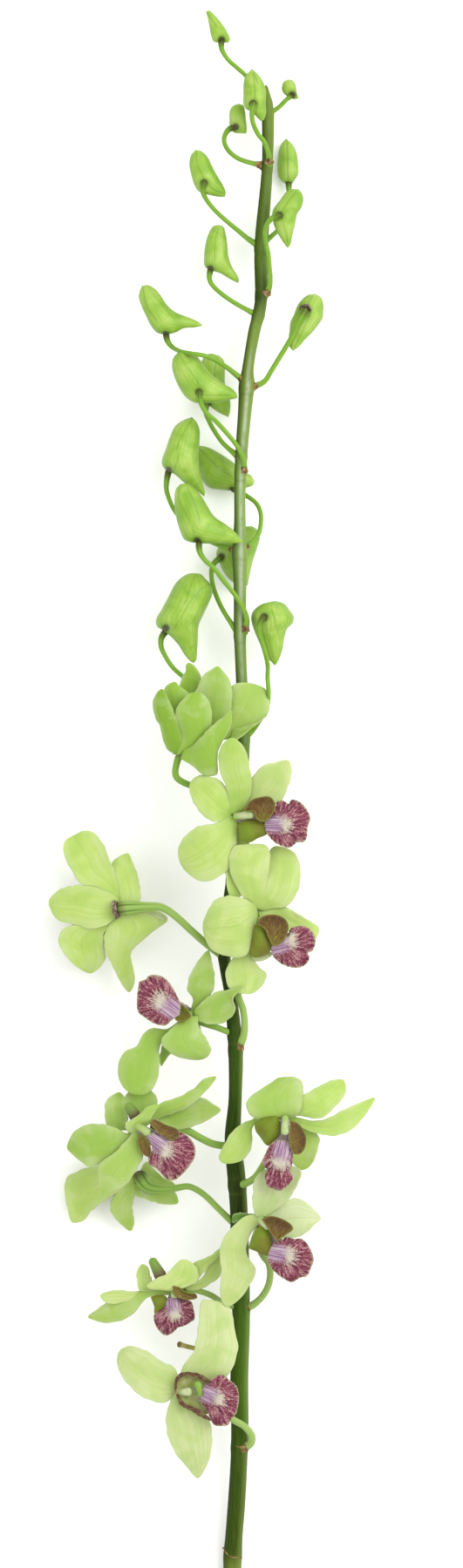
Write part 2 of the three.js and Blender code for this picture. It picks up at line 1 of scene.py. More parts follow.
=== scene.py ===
"""The looks of a cut dendrobium orchid spray that lies on a table and is seen from straight above.

Closed buds sit towards the tip of the stem, then two opening buds, then open green flowers with
mauve lips. A point is written as (column, row, height): column and row are where it shows in the
reference picture and the height above the table is in millimetres. place() turns it into metres.
"""

import bpy
import numpy as np
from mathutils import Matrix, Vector


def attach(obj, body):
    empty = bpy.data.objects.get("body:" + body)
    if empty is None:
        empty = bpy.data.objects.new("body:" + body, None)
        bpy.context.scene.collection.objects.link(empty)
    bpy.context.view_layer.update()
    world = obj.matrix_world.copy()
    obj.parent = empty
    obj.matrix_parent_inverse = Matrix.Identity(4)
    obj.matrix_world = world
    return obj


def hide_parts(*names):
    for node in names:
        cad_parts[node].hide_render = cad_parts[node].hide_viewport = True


# Scale and stage
MM = 0.001
MM_PER_PIXEL = 0.31  # the reference picture's scale on the table
PICTURE_SIZE = np.array([531.0, 1800.0])
PICTURE_MIDDLE = PICTURE_SIZE / 2
BOX_MIDDLE = np.array([-7.3, -8.3])  # middle of the spray's box from the picture's middle, mm
EYE_HEIGHT = 3100.0  # mm above the table
LENS_SENSOR = 36.0  # mm, along the picture's long side
VIEW_DEPTH = 100.0  # m
FLOOR_SIZE = 60.0  # m
LAMPS = {  # power in watts, width and place in m
    "window": (36, 1.8, (1.2, 0.7, 1.8)),
    "fill": (7, 2.2, (-1.4, -0.6, 1.6)),
}
SURROUND_LIGHT = 1.2

# Materials in common
STAGE_LIGHT = 1.72  # how much brighter than its own colour a level surface looks on the stage
SCATTER_RADII = (0.7, 1.0, 0.3)  # how far red, green and blue light spreads under a skin
SCATTER_SCALE = 0.0012  # m
COAT_ROUGHNESS = 0.35
STREAK_SHIFT = 37.0  # how fast a tepal's streaks change with its tone
TONE_STEP = 0.012  # from one tepal of a flower to the next
TONGUE_TONE_SHARE = 1 / 3  # of its flower's tone
STEM_SPAN = 0.57  # m, over which the stem's colours are spread
MIX_COLOURS = (6, 7)  # numbers of a mix node's sockets for the two colours
MIX_RESULT = 2

# Fineness of the meshes, along and across or round
TEPAL_STEPS = (44, 24)
LOBE_STEPS = (26, 96)  # from the centre out, and round
BUD_STEPS = (92, 76)
STALK_STEPS = (70, 24)
RACHIS_STEPS = (600, 36)
COLUMN_STEPS = (24, 20)
BRACT_STEPS = (14, 30)
SEAM_STEPS = 60
SMOOTH_STEPS = 900  # samples walked along a smooth line before it is spaced out evenly
TINY = 1e-9

# Shapes, in mm unless said otherwise
TEPAL_THICKNESS = 0.5
LIP_THICKNESS = 0.6
EDGE_REACH = 0.5  # from a sheet's rim, within which its thickness falls to nothing
TEPAL_CUP = 0.06  # rise of a tepal's edges over half its width
WAVE_RISE = 0.6  # of the edge's long waves
RIPPLE_RISE = 0.25  # of its short ones
EDGE_WOBBLE = 0.3  # pixels, out and in along a tepal's outline
RIB_RISE = 0.015
GROOVE_DEPTH = 0.28  # over the midrib
FOOT_REACH = 5.0  # pixels from the hub to each side of a tepal's foot, unless it states its own
FOOT_CLEARANCE = 11.0  # pixels, an edge point nearer to the hub than this is left out
BUD_DEPTH = 0.92  # a bud's height over its width
SEAM_WIDTH = 0.28
SEAM_DEPTH = 0.16
HEEL_REACH = 1.7  # of the dent at a bud's heel
HEEL_DEPTH = 0.9
BUD_STALK_RADII = (1.25, 0.82, 1.25)  # at the ovary, in the middle and at the foot
OVARY_SHARE = 0.13  # of a stalk's length, that its thick end takes up
FOOT_SHARE = 0.13
OVARY_RIBS = 6
OVARY_RIB_SHARE = 0.1  # of the radius
BRACT_SPAN = (1.4, 2.4, 3.7)  # from the stem's middle line: its start, its short and its long side
BRACT_GAP = 0.05
BRACT_FLARE = 0.35  # growth of its radius towards the stem, as a share
COLLAR_LENGTH = 1.3
COLUMN_RADIUS = 1.35
COLUMN_FOOT_SHARE = 0.9  # of the column's radius, at its foot
COLUMN_WIDENING = 0.25  # from there to the anther
SPUR_RADIUS = 1.7
SPUR_TAPER = 0.45  # share of its radius that a spur loses towards its end
STUB_RADII = (0.8, 0.45, 0.25)  # of the broken stalk, and what it gains at its foot and its end
SCAR_RADIUS = 0.27
NODE_SWELLING = 0.18  # where a stalk leaves the stem
NODE_REACH = 1.5
NODE_RING_GAP = 2.6  # from a stalk's foot to the ring on the stem
NODE_RING_WIDTH = 0.25
NODE_RING_DEPTH = 0.06
STEM_FLUTING = 0.012  # of the radius
THROAT_HALF_WIDTH = 8.0  # pixels
THROAT_DROPS = (3, 1.2, 0.9)  # below the column's foot, halfway, and below the front lobe
THROAT_CUP = 0.35
FRONT_RUFFLE = 0.42
SIDE_RUFFLE = 0.12
CALLUS_RISE = 0.45

# The stem's middle line from tip to cut end: column, row, height of the middle, radius in mm
RACHIS = [
    (305, 97, 12, 0.5), (307, 125, 12, 2.0), (306.5, 190, 12.4, 1.95), (299.5, 283, 13.4, 2.4),
    (298.7, 349, 14.4, 2.2), (291.3, 381.5, 15.1, 2.1), (284.3, 423, 15.9, 2.05), (283, 441, 16.2, 2.7),
    (280.6, 473, 16.8, 2.4), (277.3, 514, 17.6, 2.2), (275.2, 556, 18.4, 2.05), (275, 600, 19.3, 2.05),
    (274.8, 636, 20, 2.7), (275.2, 669, 20.6, 2.3), (275, 727, 21.8, 2.1), (276, 757, 22.4, 2.0),
    (279.5, 843, 24, 2.2), (278, 879, 24.6, 2.3), (270, 985, 25.8, 2.4), (262, 1045, 26.2, 2.3),
    (257, 1096, 26.4, 2.1), (264, 1140, 26.5, 2.2), (270, 1206, 26.3, 2.6), (269.6, 1262, 25.5, 2.35),
    (266.9, 1308, 24.8, 2.9), (271, 1350, 24, 3.2), (273.9, 1392, 23, 3.1), (276.6, 1509, 20, 3.1),
    (274.4, 1583, 16.5, 3.2), (275, 1638, 13.5, 3.1), (274, 1676, 11.5, 3.0), (271, 1728, 8.5, 3.1),
    (268, 1766, 6.3, 3.1), (266.7, 1786, 5.2, 3.35), (266.4, 1800, 4.5, 3.2), (266, 1838, 3.2, 3.2),
]

# Closed buds from the top down. The two edges run from the bud's tip to the end of its spur, as
# columns and rows. A seam is a groove on the upper side. The stalk runs from the heel to the stem:
# column, row, height. Its radii are those at its thick end, in the middle and at its foot, in mm.
# A collar is the reach of the ragged ring round the thick end.
BUDS = [
    {"tip": (236, 13), "end": (262, 49), "height": 14, "heel": (254, 46),
     "left": [(238, 21), (240, 31), (242, 41), (245, 48), (252, 49)],
     "right": [(240, 12), (246, 17), (253, 25), (260, 35), (264, 45)],
     "seams": [[(238, 15), (243, 23), (248, 30)]],
     "stalk": [
         (254, 45, 14.5), (254, 55, 14), (257, 62, 14), (263, 70, 13.8), (271, 77, 13.5), (284, 89, 13),
         (305, 118, 12)]},
    {"tip": (289, 79), "end": (299, 139), "height": 20, "heel": (290, 119),
     "left": [(287, 81), (281, 88), (279, 98), (279, 109), (279, 119), (282, 125), (288, 128), (295, 135)],
     "right": [(295, 84), (302, 94), (305, 104), (305, 119), (305, 131), (302, 138)],
     "seams": [[(290, 83), (292, 100), (292, 115)], [(291, 83), (296, 96)]],
     "stalk": [
         (292, 116, 21.6), (291, 120, 23.2), (289, 128, 23.5), (290, 140, 22.5), (296, 154, 20.5),
         (303, 163, 18.5), (308, 177, 16.4), (309, 190, 13.5)]},
    {"tip": (330, 91), "end": (343, 113), "height": 12, "heel": (335, 109),
     "left": [(325, 94), (323, 101), (325, 107), (330, 111), (337, 114)],
     "right": [(335, 92), (339, 97), (340, 103), (341, 108)],
     "stalk": [(335, 109, 13), (328, 115, 12.6), (320, 123, 12.3), (308, 131, 12)]},
    {"tip": (274, 119), "end": (279, 153), "height": 13, "heel": (270, 146),
     "left": [(268, 121), (264, 126), (263, 140), (264, 146), (268, 152), (273, 153)],
     "right": [(279, 121), (281, 127), (282, 136), (283, 149), (282, 153)],
     "stalk": [
         (270, 146, 14.5), (262, 149, 13), (257, 159, 12), (260, 170, 11.6), (270, 180, 11.8),
         (281, 185, 12), (305, 191, 12.4)]},
    {"tip": (328, 159), "end": (330, 213), "height": 4, "heel": (330, 213),
     "left": [(322, 166), (319, 177), (318, 190), (319, 201), (322, 207), (326, 210)],
     "right": [(335, 165), (340, 175), (342, 187), (342, 200), (338, 207), (335, 211)],
     "seams": [[(329, 162), (329, 180), (330, 205)]],
     "stalk": [(331, 208, 4.6), (331, 235, 5.5), (322, 260, 8.5), (300, 281, 13.2)]},
    {"tip": (224, 172), "end": (258, 226), "height": 15, "heel": (234, 210),
     "left": [(219, 178), (217, 188), (219, 200), (223, 213), (228, 220), (240, 224), (251, 226)],
     "right": [(230, 173), (238, 180), (244, 192), (250, 203), (256, 213), (259, 221)],
     "seams": [[(225, 175), (226, 188), (231, 200), (235, 208)], [(238, 213), (247, 219), (256, 222)]],
     "stalk": [
         (236, 207, 16.8), (234, 211, 18.4), (233, 221, 17), (238, 231, 15.5), (248, 243, 14.5),
         (259, 253, 14), (271, 263, 13.6), (283, 273, 13.4), (299, 284, 13.4)]},
    {"tip": (342, 217), "end": (330, 285), "height": 22, "heel": (320, 247),
     "left": [(331, 218), (321, 230), (313, 241), (312, 248), (314, 258), (319, 269), (326, 280)],
     "right": [(346, 221), (348, 228), (346, 238), (341, 246), (339, 256), (336, 268), (333, 281)],
     "seams": [[(339, 220), (330, 232), (323, 243)], [(323, 250), (328, 268), (330, 280)]],
     "stalk": [
         (323, 246, 24), (320, 248, 25.4), (313, 250, 25.2), (307, 256, 24.2), (304, 266, 22.6),
         (305, 279, 21.5), (308, 293, 20.5), (309, 306, 19.6), (310, 319, 18.6), (309, 329, 17.2),
         (304, 340, 14.6)]},
    {"tip": (250, 258), "end": (273, 325), "height": 14, "heel": (241, 309),
     "left": [
         (244, 260), (238, 271), (235, 283), (234, 294), (235, 306), (241, 310), (253, 314), (263, 320)],
     "right": [(256, 260), (259, 269), (261, 283), (262, 294), (266, 306), (272, 316), (274, 322)],
     "seams": [[(250, 262), (246, 280), (246, 300)]],
     "stalk": [
         (242, 307, 13), (240, 318, 13.2), (242, 325, 13.6), (248, 332, 13.8), (259, 341, 14),
         (273, 350, 14.2), (297, 363, 14.6)]},
    {"tip": (163, 328), "end": (232, 374), "height": 16, "heel": (190, 384),
     "left": [
         (160, 334), (159, 341), (162, 351), (167, 362), (173, 374), (180, 382), (190, 384), (201, 382),
         (211, 377), (223, 376)],
     "right": [
         (169, 327), (176, 330), (183, 337), (191, 349), (198, 356), (205, 360), (213, 363), (225, 368),
         (231, 372)],
     "seams": [[(164, 332), (168, 350), (180, 370)], [(170, 329), (184, 348), (200, 366)]],
     "stalk": [
         (190, 381, 15), (192, 391, 14.5), (197, 398, 15), (206, 403, 20), (220, 406, 27), (233, 408, 27),
         (246, 413, 23), (259, 421, 19.5), (273, 432, 17), (283, 440, 16.2)]},
    {"tip": (361, 337), "end": (336, 403), "height": 16, "heel": (349, 358),
     "stalk_radii": (2.1, 0.9, 1.25), "collar": 2.3,
     "left": [(352, 339), (342, 349), (337, 361), (333, 370), (332, 379), (331, 388), (332, 398)],
     "right": [
         (368, 341), (371, 349), (371, 357), (370, 366), (366, 372), (359, 381), (350, 390), (343, 398)],
     "seams": [[(358, 340), (352, 350)], [(355, 362), (349, 375), (338, 398)]],
     "stalk": [
         (351, 355, 19), (348, 360, 21), (341, 373, 21), (335, 386, 19.5), (327, 400, 18.5),
         (319, 413, 17.8), (311, 426, 17.2), (303, 438, 16.6), (285, 446, 16.2)]},
    {"tip": (206, 403), "end": (272, 457), "height": 22, "heel": (228, 450),
     "left": [
         (199, 410), (197, 420), (200, 433), (206, 446), (213, 456), (223, 462), (235, 463), (253, 461),
         (263, 459)],
     "right": [(215, 404), (225, 408), (233, 418), (243, 430), (256, 440), (268, 448), (272, 454)],
     "seams": [[(206, 408), (215, 423), (225, 436), (228, 446)], [(233, 454), (262, 454)]],
     "stalk": [
         (229, 446, 25), (229, 450, 26.3), (230, 461, 25.5), (236, 473, 25), (248, 484, 24.2),
         (259, 496, 23.2), (269, 508, 22.2), (276, 519, 21.4), (280, 531, 20.4), (279, 545, 18.3)]},
    {"tip": (251, 408), "end": (262, 479), "height": 7, "heel": (238, 462),
     "left": [(240, 406), (232, 413), (230, 430), (232, 448), (238, 463), (248, 472)],
     "right": [(256, 413), (258, 423), (258, 440), (261, 452), (264, 460), (264, 472)],
     "seams": [[(249, 410), (246, 425), (247, 440)]],
     "stalk": [
         (238, 461, 8), (236, 473, 9.5), (241, 486, 12), (248, 498, 14), (256, 509, 15.8),
         (274, 525, 17.7)]},
    {"tip": (220, 479), "end": (234, 570), "height": 16, "heel": (193, 540),
     "left": [
         (211, 482), (201, 489), (195, 501), (190, 516), (186, 527), (186, 534), (191, 540), (201, 545),
         (211, 554), (223, 561)],
     "right": [(225, 484), (229, 494), (229, 506), (228, 522), (229, 539), (232, 554), (235, 566)],
     "seams": [[(219, 483), (205, 508), (203, 530), (199, 541)]],
     "stalk": [
         (194, 538, 14.6), (191, 553, 13), (191, 563, 12.4), (194, 573, 12), (199, 584, 12),
         (215, 604, 12.5), (240, 621, 16), (274, 633, 19.9)]},
    {"tip": (224, 511), "end": (292, 552), "height": 5.8, "heel": (266, 563),
     "left": [
         (224, 524), (228, 541), (233, 553), (240, 560), (250, 562), (268, 563), (282, 560), (290, 557)],
     "right": [(232, 512), (240, 514), (253, 521), (268, 531), (280, 541), (288, 546)],
     "seams": [[(228, 515), (246, 533), (266, 548)]],
     "stalk": [
         (265, 560, 6.5), (284, 570, 8.5), (294, 578, 10.5), (299, 589, 12.5), (299, 603, 15),
         (296, 614, 17), (289, 623, 18.5), (276, 634, 20)]},
    {"tip": (207, 556), "end": (279, 623), "height": 25, "heel": (226, 621),
     "left": [
         (202, 561), (200, 573), (201, 589), (206, 608), (211, 619), (217, 622), (233, 624), (248, 624),
         (266, 624)],
     "right": [(215, 555), (223, 560), (230, 568), (238, 581), (246, 593), (259, 602), (271, 612)],
     "seams": [
         [(206, 560), (205, 574), (212, 588), (220, 601), (223, 617)],
         [(214, 558), (224, 580), (229, 600)]],
     "stalk": [
         (228, 621, 27), (229, 633, 27.3), (235, 643, 27.5), (245, 652, 27.5), (256, 666, 27),
         (268, 681, 26.4), (278, 696, 25.8), (283, 711, 24.6), (280, 727, 22.2)]},
    {"tip": (289, 604), "end": (284, 672), "height": 6.6, "heel": (254, 639),
     "left": [
         (278, 605), (265, 614), (252, 626), (248, 636), (252, 647), (256, 656), (264, 666), (275, 672)],
     "right": [(295, 608), (298, 616), (295, 629), (290, 644), (287, 657)],
     "stalk": [
         (256, 638, 9), (246, 646, 10), (243, 652, 11), (243, 666, 12.6), (247, 681, 15), (256, 701, 18),
         (275, 730, 21.8)]},
    {"tip": (224, 658), "end": (222, 761), "height": 20, "heel": (190, 721),
     "left": [
         (219, 658), (211, 661), (201, 670), (193, 685), (185, 700), (179, 711), (180, 719), (186, 723),
         (195, 730), (205, 741), (211, 751), (218, 759)],
     "right": [
         (230, 659), (236, 665), (241, 670), (244, 678), (240, 691), (233, 706), (228, 718), (227, 733),
         (226, 748), (225, 758)],
     "seams": [
         [(240, 670), (231, 676), (218, 691), (210, 705), (198, 724)],
         [(224, 660), (216, 680), (212, 695)]],
     "stalk": [
         (192, 722, 18.5), (185, 733, 17.8), (185, 743, 17.5), (190, 754, 17.3), (198, 766, 17.5),
         (209, 776, 18), (240, 800, 20.5), (277, 818, 23.5)]},
    {"tip": (308, 691), "end": (315, 764), "height": 20, "heel": (303, 708),
     "left": [(299, 694), (290, 702), (288, 709), (289, 716), (294, 730), (299, 741), (306, 754)],
     "right": [
         (316, 690), (326, 693), (332, 700), (337, 708), (336, 715), (329, 723), (326, 734), (324, 746),
         (318, 761)],
     "seams": [[(312, 700), (316, 716), (321, 735)], [(304, 717), (308, 735), (313, 755)]],
     "stalk": [
         (306, 709, 24.2), (302, 710, 26.2), (298, 715, 27), (297, 724, 27), (300, 736, 26.2),
         (304, 749, 25.3), (307, 763, 24.8), (307, 779, 34), (308, 795, 34), (306, 812, 30), (292, 835, 24),
         (280, 848, 24.1)]},
]

# Buds that are opening and open flowers. A hub is where the tepals meet: column, row, height. A
# tepal has its heights at foot, middle and tip, and its left and right edges as seen from its foot
# towards its tip. cup raises the edges by a share of half the width, turn lifts the right edge by
# an angle in degrees, foot is how far each side of the hub it starts, and tone goes from 0, green,
# to 1, pale. Of the lip, front is the broad part, lobes stand beside it with the face that shows,
# and rims are strips along them. olive_spur is the radius of a spur that is olive, in mm.
# The low tones of flower_04, flower_05 and flower_06 are partly painted shade: they darken these flowers as
# the shade on them does.
HEADS = {}

HEADS["opening_01"] = {
    "hub": (208, 866, 33), "tone": 0.16,
    "tepals": [
        {"name": "back", "heights": (31, 29.5, 28), "tip": (216, 761), "cup": -0.3, "foot": 10,
         "tone": 0.13,
         "left": [(205, 830), (203, 800), (206, 785), (209, 777), (213, 770), (213, 764)],
         "right": [(228, 830), (230, 800), (229, 788), (231, 779), (228, 771), (223, 764)]},
        {"name": "big_right", "heights": (34, 36, 36), "tip": (250, 765), "cup": -0.15, "foot": 10,
         "tone": 0.32,
         "left": [(222, 835), (218, 815), (219, 800), (224, 794), (228, 785), (233, 775), (240, 770)],
         "right": [(240, 845), (258, 828), (265, 815), (266, 803), (266, 790), (263, 780), (256, 771)]},
        {"name": "left_inner", "heights": (33, 36.5, 35.5), "tip": (201, 783), "cup": -0.25, "foot": 9,
         "left": [(204, 850), (196, 830), (190, 810), (188, 794), (191, 787)],
         "right": [(220, 850), (220, 830), (219, 812), (218, 799), (213, 793), (206, 788)]},
        {"name": "left_outer", "heights": (34, 41.5, 39), "tip": (186, 791), "cup": -0.4, "turn": 12,
         "foot": 5, "tone": 0.09,
         "left": [
             (201, 868), (195, 863), (188, 853), (184, 836), (178, 823), (175, 811), (176, 803),
             (180, 795)],
         "right": [(212, 871), (213, 863), (210, 846), (205, 830), (198, 813), (191, 798)]},
        {"name": "centre", "heights": (35, 42.5, 41), "tip": (225, 795), "cup": -0.3, "foot": 7,
         "left": [(212, 862), (209, 848), (204, 833), (201, 821), (203, 811), (209, 804), (216, 797)],
         "right": [(224, 858), (240, 842), (243, 826), (242, 811), (239, 804), (233, 797)]},
        {"name": "lower_right", "heights": (37, 43, 42), "tip": (265, 815), "cup": -0.25, "turn": -10,
         "foot": 5,
         "left": [(212, 871), (214, 866), (220, 856), (230, 846), (243, 833), (256, 823)],
         "right": [
             (211, 874), (223, 881), (230, 888), (240, 891), (249, 889), (249, 873), (250, 863), (256, 850),
             (264, 836), (266, 823)]},
    ],
    "stalk": [
        (211, 860, 35), (205, 869, 33), (202, 879, 31.5), (201, 887, 31), (203, 893, 30.6),
        (210, 898, 30.2), (217, 901, 29.8), (245, 912, 27.5), (276, 925, 25.2)],
    "stalk_radii": (1.5, 1.15, 1.3),
}

HEADS["opening_02"] = {
    "hub": (266, 848, 31.5), "tone": 0.42,
    "tepals": [
        {"name": "upper", "heights": (33, 34, 33), "tip": (296, 787), "cup": -0.12, "foot": 12,
         "left": [(254, 845), (253, 820), (258, 798), (266, 787), (273, 784), (284, 784)],
         "right": [(268, 843), (286, 834), (298, 829), (308, 818), (309, 805), (305, 792)]},
        {"name": "lower", "heights": (33, 36, 34.5), "tip": (308, 817), "cup": 0.2, "foot": 9,
         "left": [(256, 848), (268, 837), (286, 833), (298, 828)],
         "right": [(260, 858), (270, 851), (278, 845), (284, 840), (293, 833), (301, 826)]},
    ],
    "stalk": [(266, 856, 31), (266, 862, 31), (270, 885, 29), (276, 907, 25.2)],
    "stalk_radii": (1.4, 1.1, 1.2),
}

HEADS["flower_01"] = {
    "hub": (268, 935, 37), "tone": 0.56,
    "tepals": [
        {"name": "lower", "heights": (37, 38, 38.5), "tip": (268, 1034),
         "left": [(285, 965), (290, 990), (286, 1015)],
         "right": [(262, 965), (259, 985), (259, 1005), (261, 1022)]},
        {"name": "right", "heights": (38, 40.5, 40), "tip": (331, 873), "turn": 6, "tone": 0.8,
         "left": [(278, 922), (285, 900), (301, 879), (315, 875)],
         "right": [(284, 936), (304, 928), (322, 920), (331, 902), (335, 884)]},
        {"name": "top", "heights": (39, 43, 45), "tip": (266, 847), "cup": -0.22, "tone": 0.48,
         "left": [(268, 930), (260, 908), (251, 880), (253, 858)],
         "right": [(280, 928), (289, 905), (287, 884), (280, 858)]},
        {"name": "upper_left", "heights": (38, 41, 35), "tip": (220, 896), "cup": -0.14,
         "left": [(262, 943), (244, 943), (229, 932), (220, 917), (217, 904)],
         "right": [(270, 931), (265, 915), (254, 897), (240, 891), (229, 890)]},
        {"name": "lower_left", "heights": (38, 40, 31), "tip": (206, 988), "cup": -0.1,
         "left": [(272, 950), (270, 978), (262, 998), (248, 1008), (232, 1012), (216, 1003)],
         "right": [(263, 943), (247, 945), (229, 948), (213, 959), (205, 972)]},
    ],
    "column": [(270, 937, 40.5), (281, 936, 43), (292, 934, 44)],
    "spur": [(272, 944, 36), (283, 956, 35.5), (289, 962, 35)],
    "lobes": [
        {"face": "inside", "middle": (297, 927), "heights": (43.5, 46.2), "outline": [
            (279, 931), (288, 919), (299, 915), (310, 915), (316, 924), (313, 934), (304, 943), (295, 941),
            (291, 932)]},
        {"face": "outside", "middle": (289, 954), "heights": (45.5, 42), "outline": [
            (272, 948), (280, 942), (293, 941), (304, 945), (306, 957), (296, 962), (286, 967),
            (277, 964)]},
    ],
    "front": {"middle": (327, 946), "heights": (46, 43.5), "outline": [
        (303, 946), (309, 935), (316, 926), (318, 920), (325, 919), (332, 923), (334, 918), (341, 919),
        (348, 924), (353, 931), (356, 940), (353, 949), (352, 961), (348, 967), (341, 967), (337, 970),
        (332, 973), (318, 969), (310, 962), (305, 955)]},
    "stalk": [(268, 938, 35), (267, 950, 33), (264, 968, 31), (264, 992, 28.5), (268, 1008, 26)],
    "stalk_radii": (1.6, 1.15, 1.3),
}

HEADS["flower_02"] = {
    "hub": (296, 1045, 37), "tone": 0.65,
    "tepals": [
        {"name": "right", "heights": (37, 38, 31), "tip": (366, 1066), "cup": 0.15,
         "left": [(310, 1036), (328, 1041), (347, 1052), (359, 1059)],
         "right": [(304, 1056), (325, 1066), (345, 1077), (360, 1080)]},
        {"name": "right_top", "heights": (38, 40, 36), "tip": (321, 972), "cup": -0.1,
         "left": [(300, 1040), (303, 1010), (306, 985), (309, 977), (314, 972)],
         "right": [(312, 1043), (328, 1041), (340, 1027), (345, 1005), (344, 995), (341, 983), (334, 976)]},
        {"name": "left_top", "heights": (38, 42, 41), "tip": (303, 970), "cup": -0.18,
         "left": [(290, 1040), (276, 1026), (264, 1001), (263, 983), (268, 972), (284, 969)],
         "right": [(299, 1040), (304, 1027), (308, 1001), (310, 983), (308, 974)]},
        {"name": "bottom", "heights": (36, 37, 37), "tip": (283, 1141), "cup": -0.12,
         "left": [(288, 1090), (296, 1109), (306, 1118), (303, 1128), (294, 1138)],
         "right": [(281, 1085), (268, 1099), (260, 1110), (259, 1124), (264, 1136)]},
        {"name": "left", "heights": (38, 42, 34), "tip": (233, 1062), "cup": -0.12,
         "left": [(294, 1058), (289, 1080), (281, 1098), (262, 1098), (245, 1092), (236, 1079)],
         "right": [(292, 1040), (281, 1032), (263, 1028), (247, 1033), (238, 1046)]},
    ],
    "column": [(299, 1054, 38), (302, 1060, 39.5), (305, 1067, 40.5)],
    "spur": [(288, 1098, 37), (300, 1099, 38), (312, 1094, 38)],
    "lobes": [
        {"face": "inside", "middle": (314, 1064), "heights": (43.5, 46.2), "outline": [
            (295, 1059), (298, 1054), (308, 1050), (320, 1051), (328, 1056), (331, 1064), (329, 1073),
            (322, 1083), (314, 1086), (308, 1077), (304, 1067)]},
        {"face": "outside", "middle": (299, 1080), "heights": (45.5, 42), "outline": [
            (292, 1062), (289, 1078), (287, 1096), (293, 1099), (309, 1093), (314, 1080), (307, 1069),
            (300, 1061)]},
    ],
    "front": {"middle": (332, 1081), "heights": (46, 43.5), "outline": [
        (311, 1088), (316, 1079), (331, 1071), (335, 1065), (348, 1063), (355, 1066), (360, 1072),
        (362, 1081), (358, 1092), (353, 1094), (355, 1099), (351, 1107), (342, 1111), (328, 1109),
        (318, 1103), (312, 1096)]},
    "stalk": [
        (294, 1052, 34), (287, 1080, 33), (281, 1100, 32.5), (273, 1140, 31.5), (279, 1160, 30.5),
        (280, 1186, 29), (272, 1206, 26.3)],
    "stalk_radii": (1.6, 1.2, 1.6),
}

HEADS["flower_03"] = {
    "hub": (138, 1044, 22), "tone": 0.58, "ovary_share": 0.24, "collar": 3.5,
    "tepals": [
        {"name": "lower_left", "heights": (20, 18, 10), "tip": (104, 1117), "cup": 0.1,
         "left": [(130, 1060), (120, 1070), (119, 1085), (121, 1098), (115, 1110)],
         "right": [(128, 1056), (104, 1064), (84, 1062), (70, 1069), (67, 1080), (75, 1097), (88, 1110)]},
        {"name": "upper", "heights": (21, 19, 12), "tip": (88, 964), "cup": 0.1,
         "left": [(134, 1032), (110, 1020), (92, 1014), (81, 997), (73, 980), (74, 966), (82, 962)],
         "right": [(137, 1026), (133, 1005), (126, 988), (118, 968), (106, 955), (95, 954), (90, 958)]},
        {"name": "upper_right", "heights": (22, 20, 15), "tip": (147, 980), "cup": -0.2,
         "left": [(137, 1028), (131, 1005), (128, 991), (137, 983)],
         "right": [(160, 1036), (160, 1016), (157, 1002), (152, 990)]},
        {"name": "left_dorsal", "heights": (22, 20.5, 13), "tip": (56, 1036), "cup": -0.12,
         "left": [(134, 1054), (120, 1063), (104, 1066), (84, 1061), (66, 1056)],
         "right": [(134, 1030), (115, 1020), (92, 1016), (73, 1019), (61, 1027)]},
        {"name": "lower", "heights": (21, 19, 10), "tip": (148, 1139), "cup": -0.15,
         "left": [
             (160, 1043), (182, 1046), (193, 1055), (180, 1066), (166, 1077), (151, 1092), (151, 1104),
             (155, 1125)],
         "right": [(138, 1050), (124, 1063), (119, 1076), (122, 1094), (131, 1113), (139, 1129)]},
    ],
    "column": [(138, 1046, 18), (131, 1049, 15), (124, 1051, 13)],
    "spur": [(150, 1046, 20), (175, 1050, 19.5), (190, 1054, 19.5)],
    "lobes": [
        {"face": "outside", "middle": (124, 1048), "heights": (9.5, 13), "outline": [
            (135, 1040), (122, 1036), (110, 1044), (108, 1052), (118, 1056), (132, 1052)]},
        {"face": "outside", "middle": (126, 1064), "heights": (9.5, 13), "outline": [
            (137, 1054), (122, 1058), (112, 1066), (116, 1076), (128, 1072), (136, 1062)]},
    ],
    "front": {"middle": (103, 1072), "heights": (3.5, 1.6), "outline": [
        (120, 1062), (112, 1052), (98, 1050), (86, 1058), (80, 1072), (84, 1088), (98, 1097), (112, 1092),
        (120, 1080), (121, 1070)]},
    "stalk": [
        (132, 1044, 23.2), (148, 1042, 24.5), (168, 1041, 25), (182, 1041, 25.2), (192, 1045, 25.2),
        (204, 1054, 25.2), (218, 1067, 25.6), (235, 1082, 26), (257, 1099, 26.4)],
    "stalk_radii": (2.6, 1.3, 1.4),
}

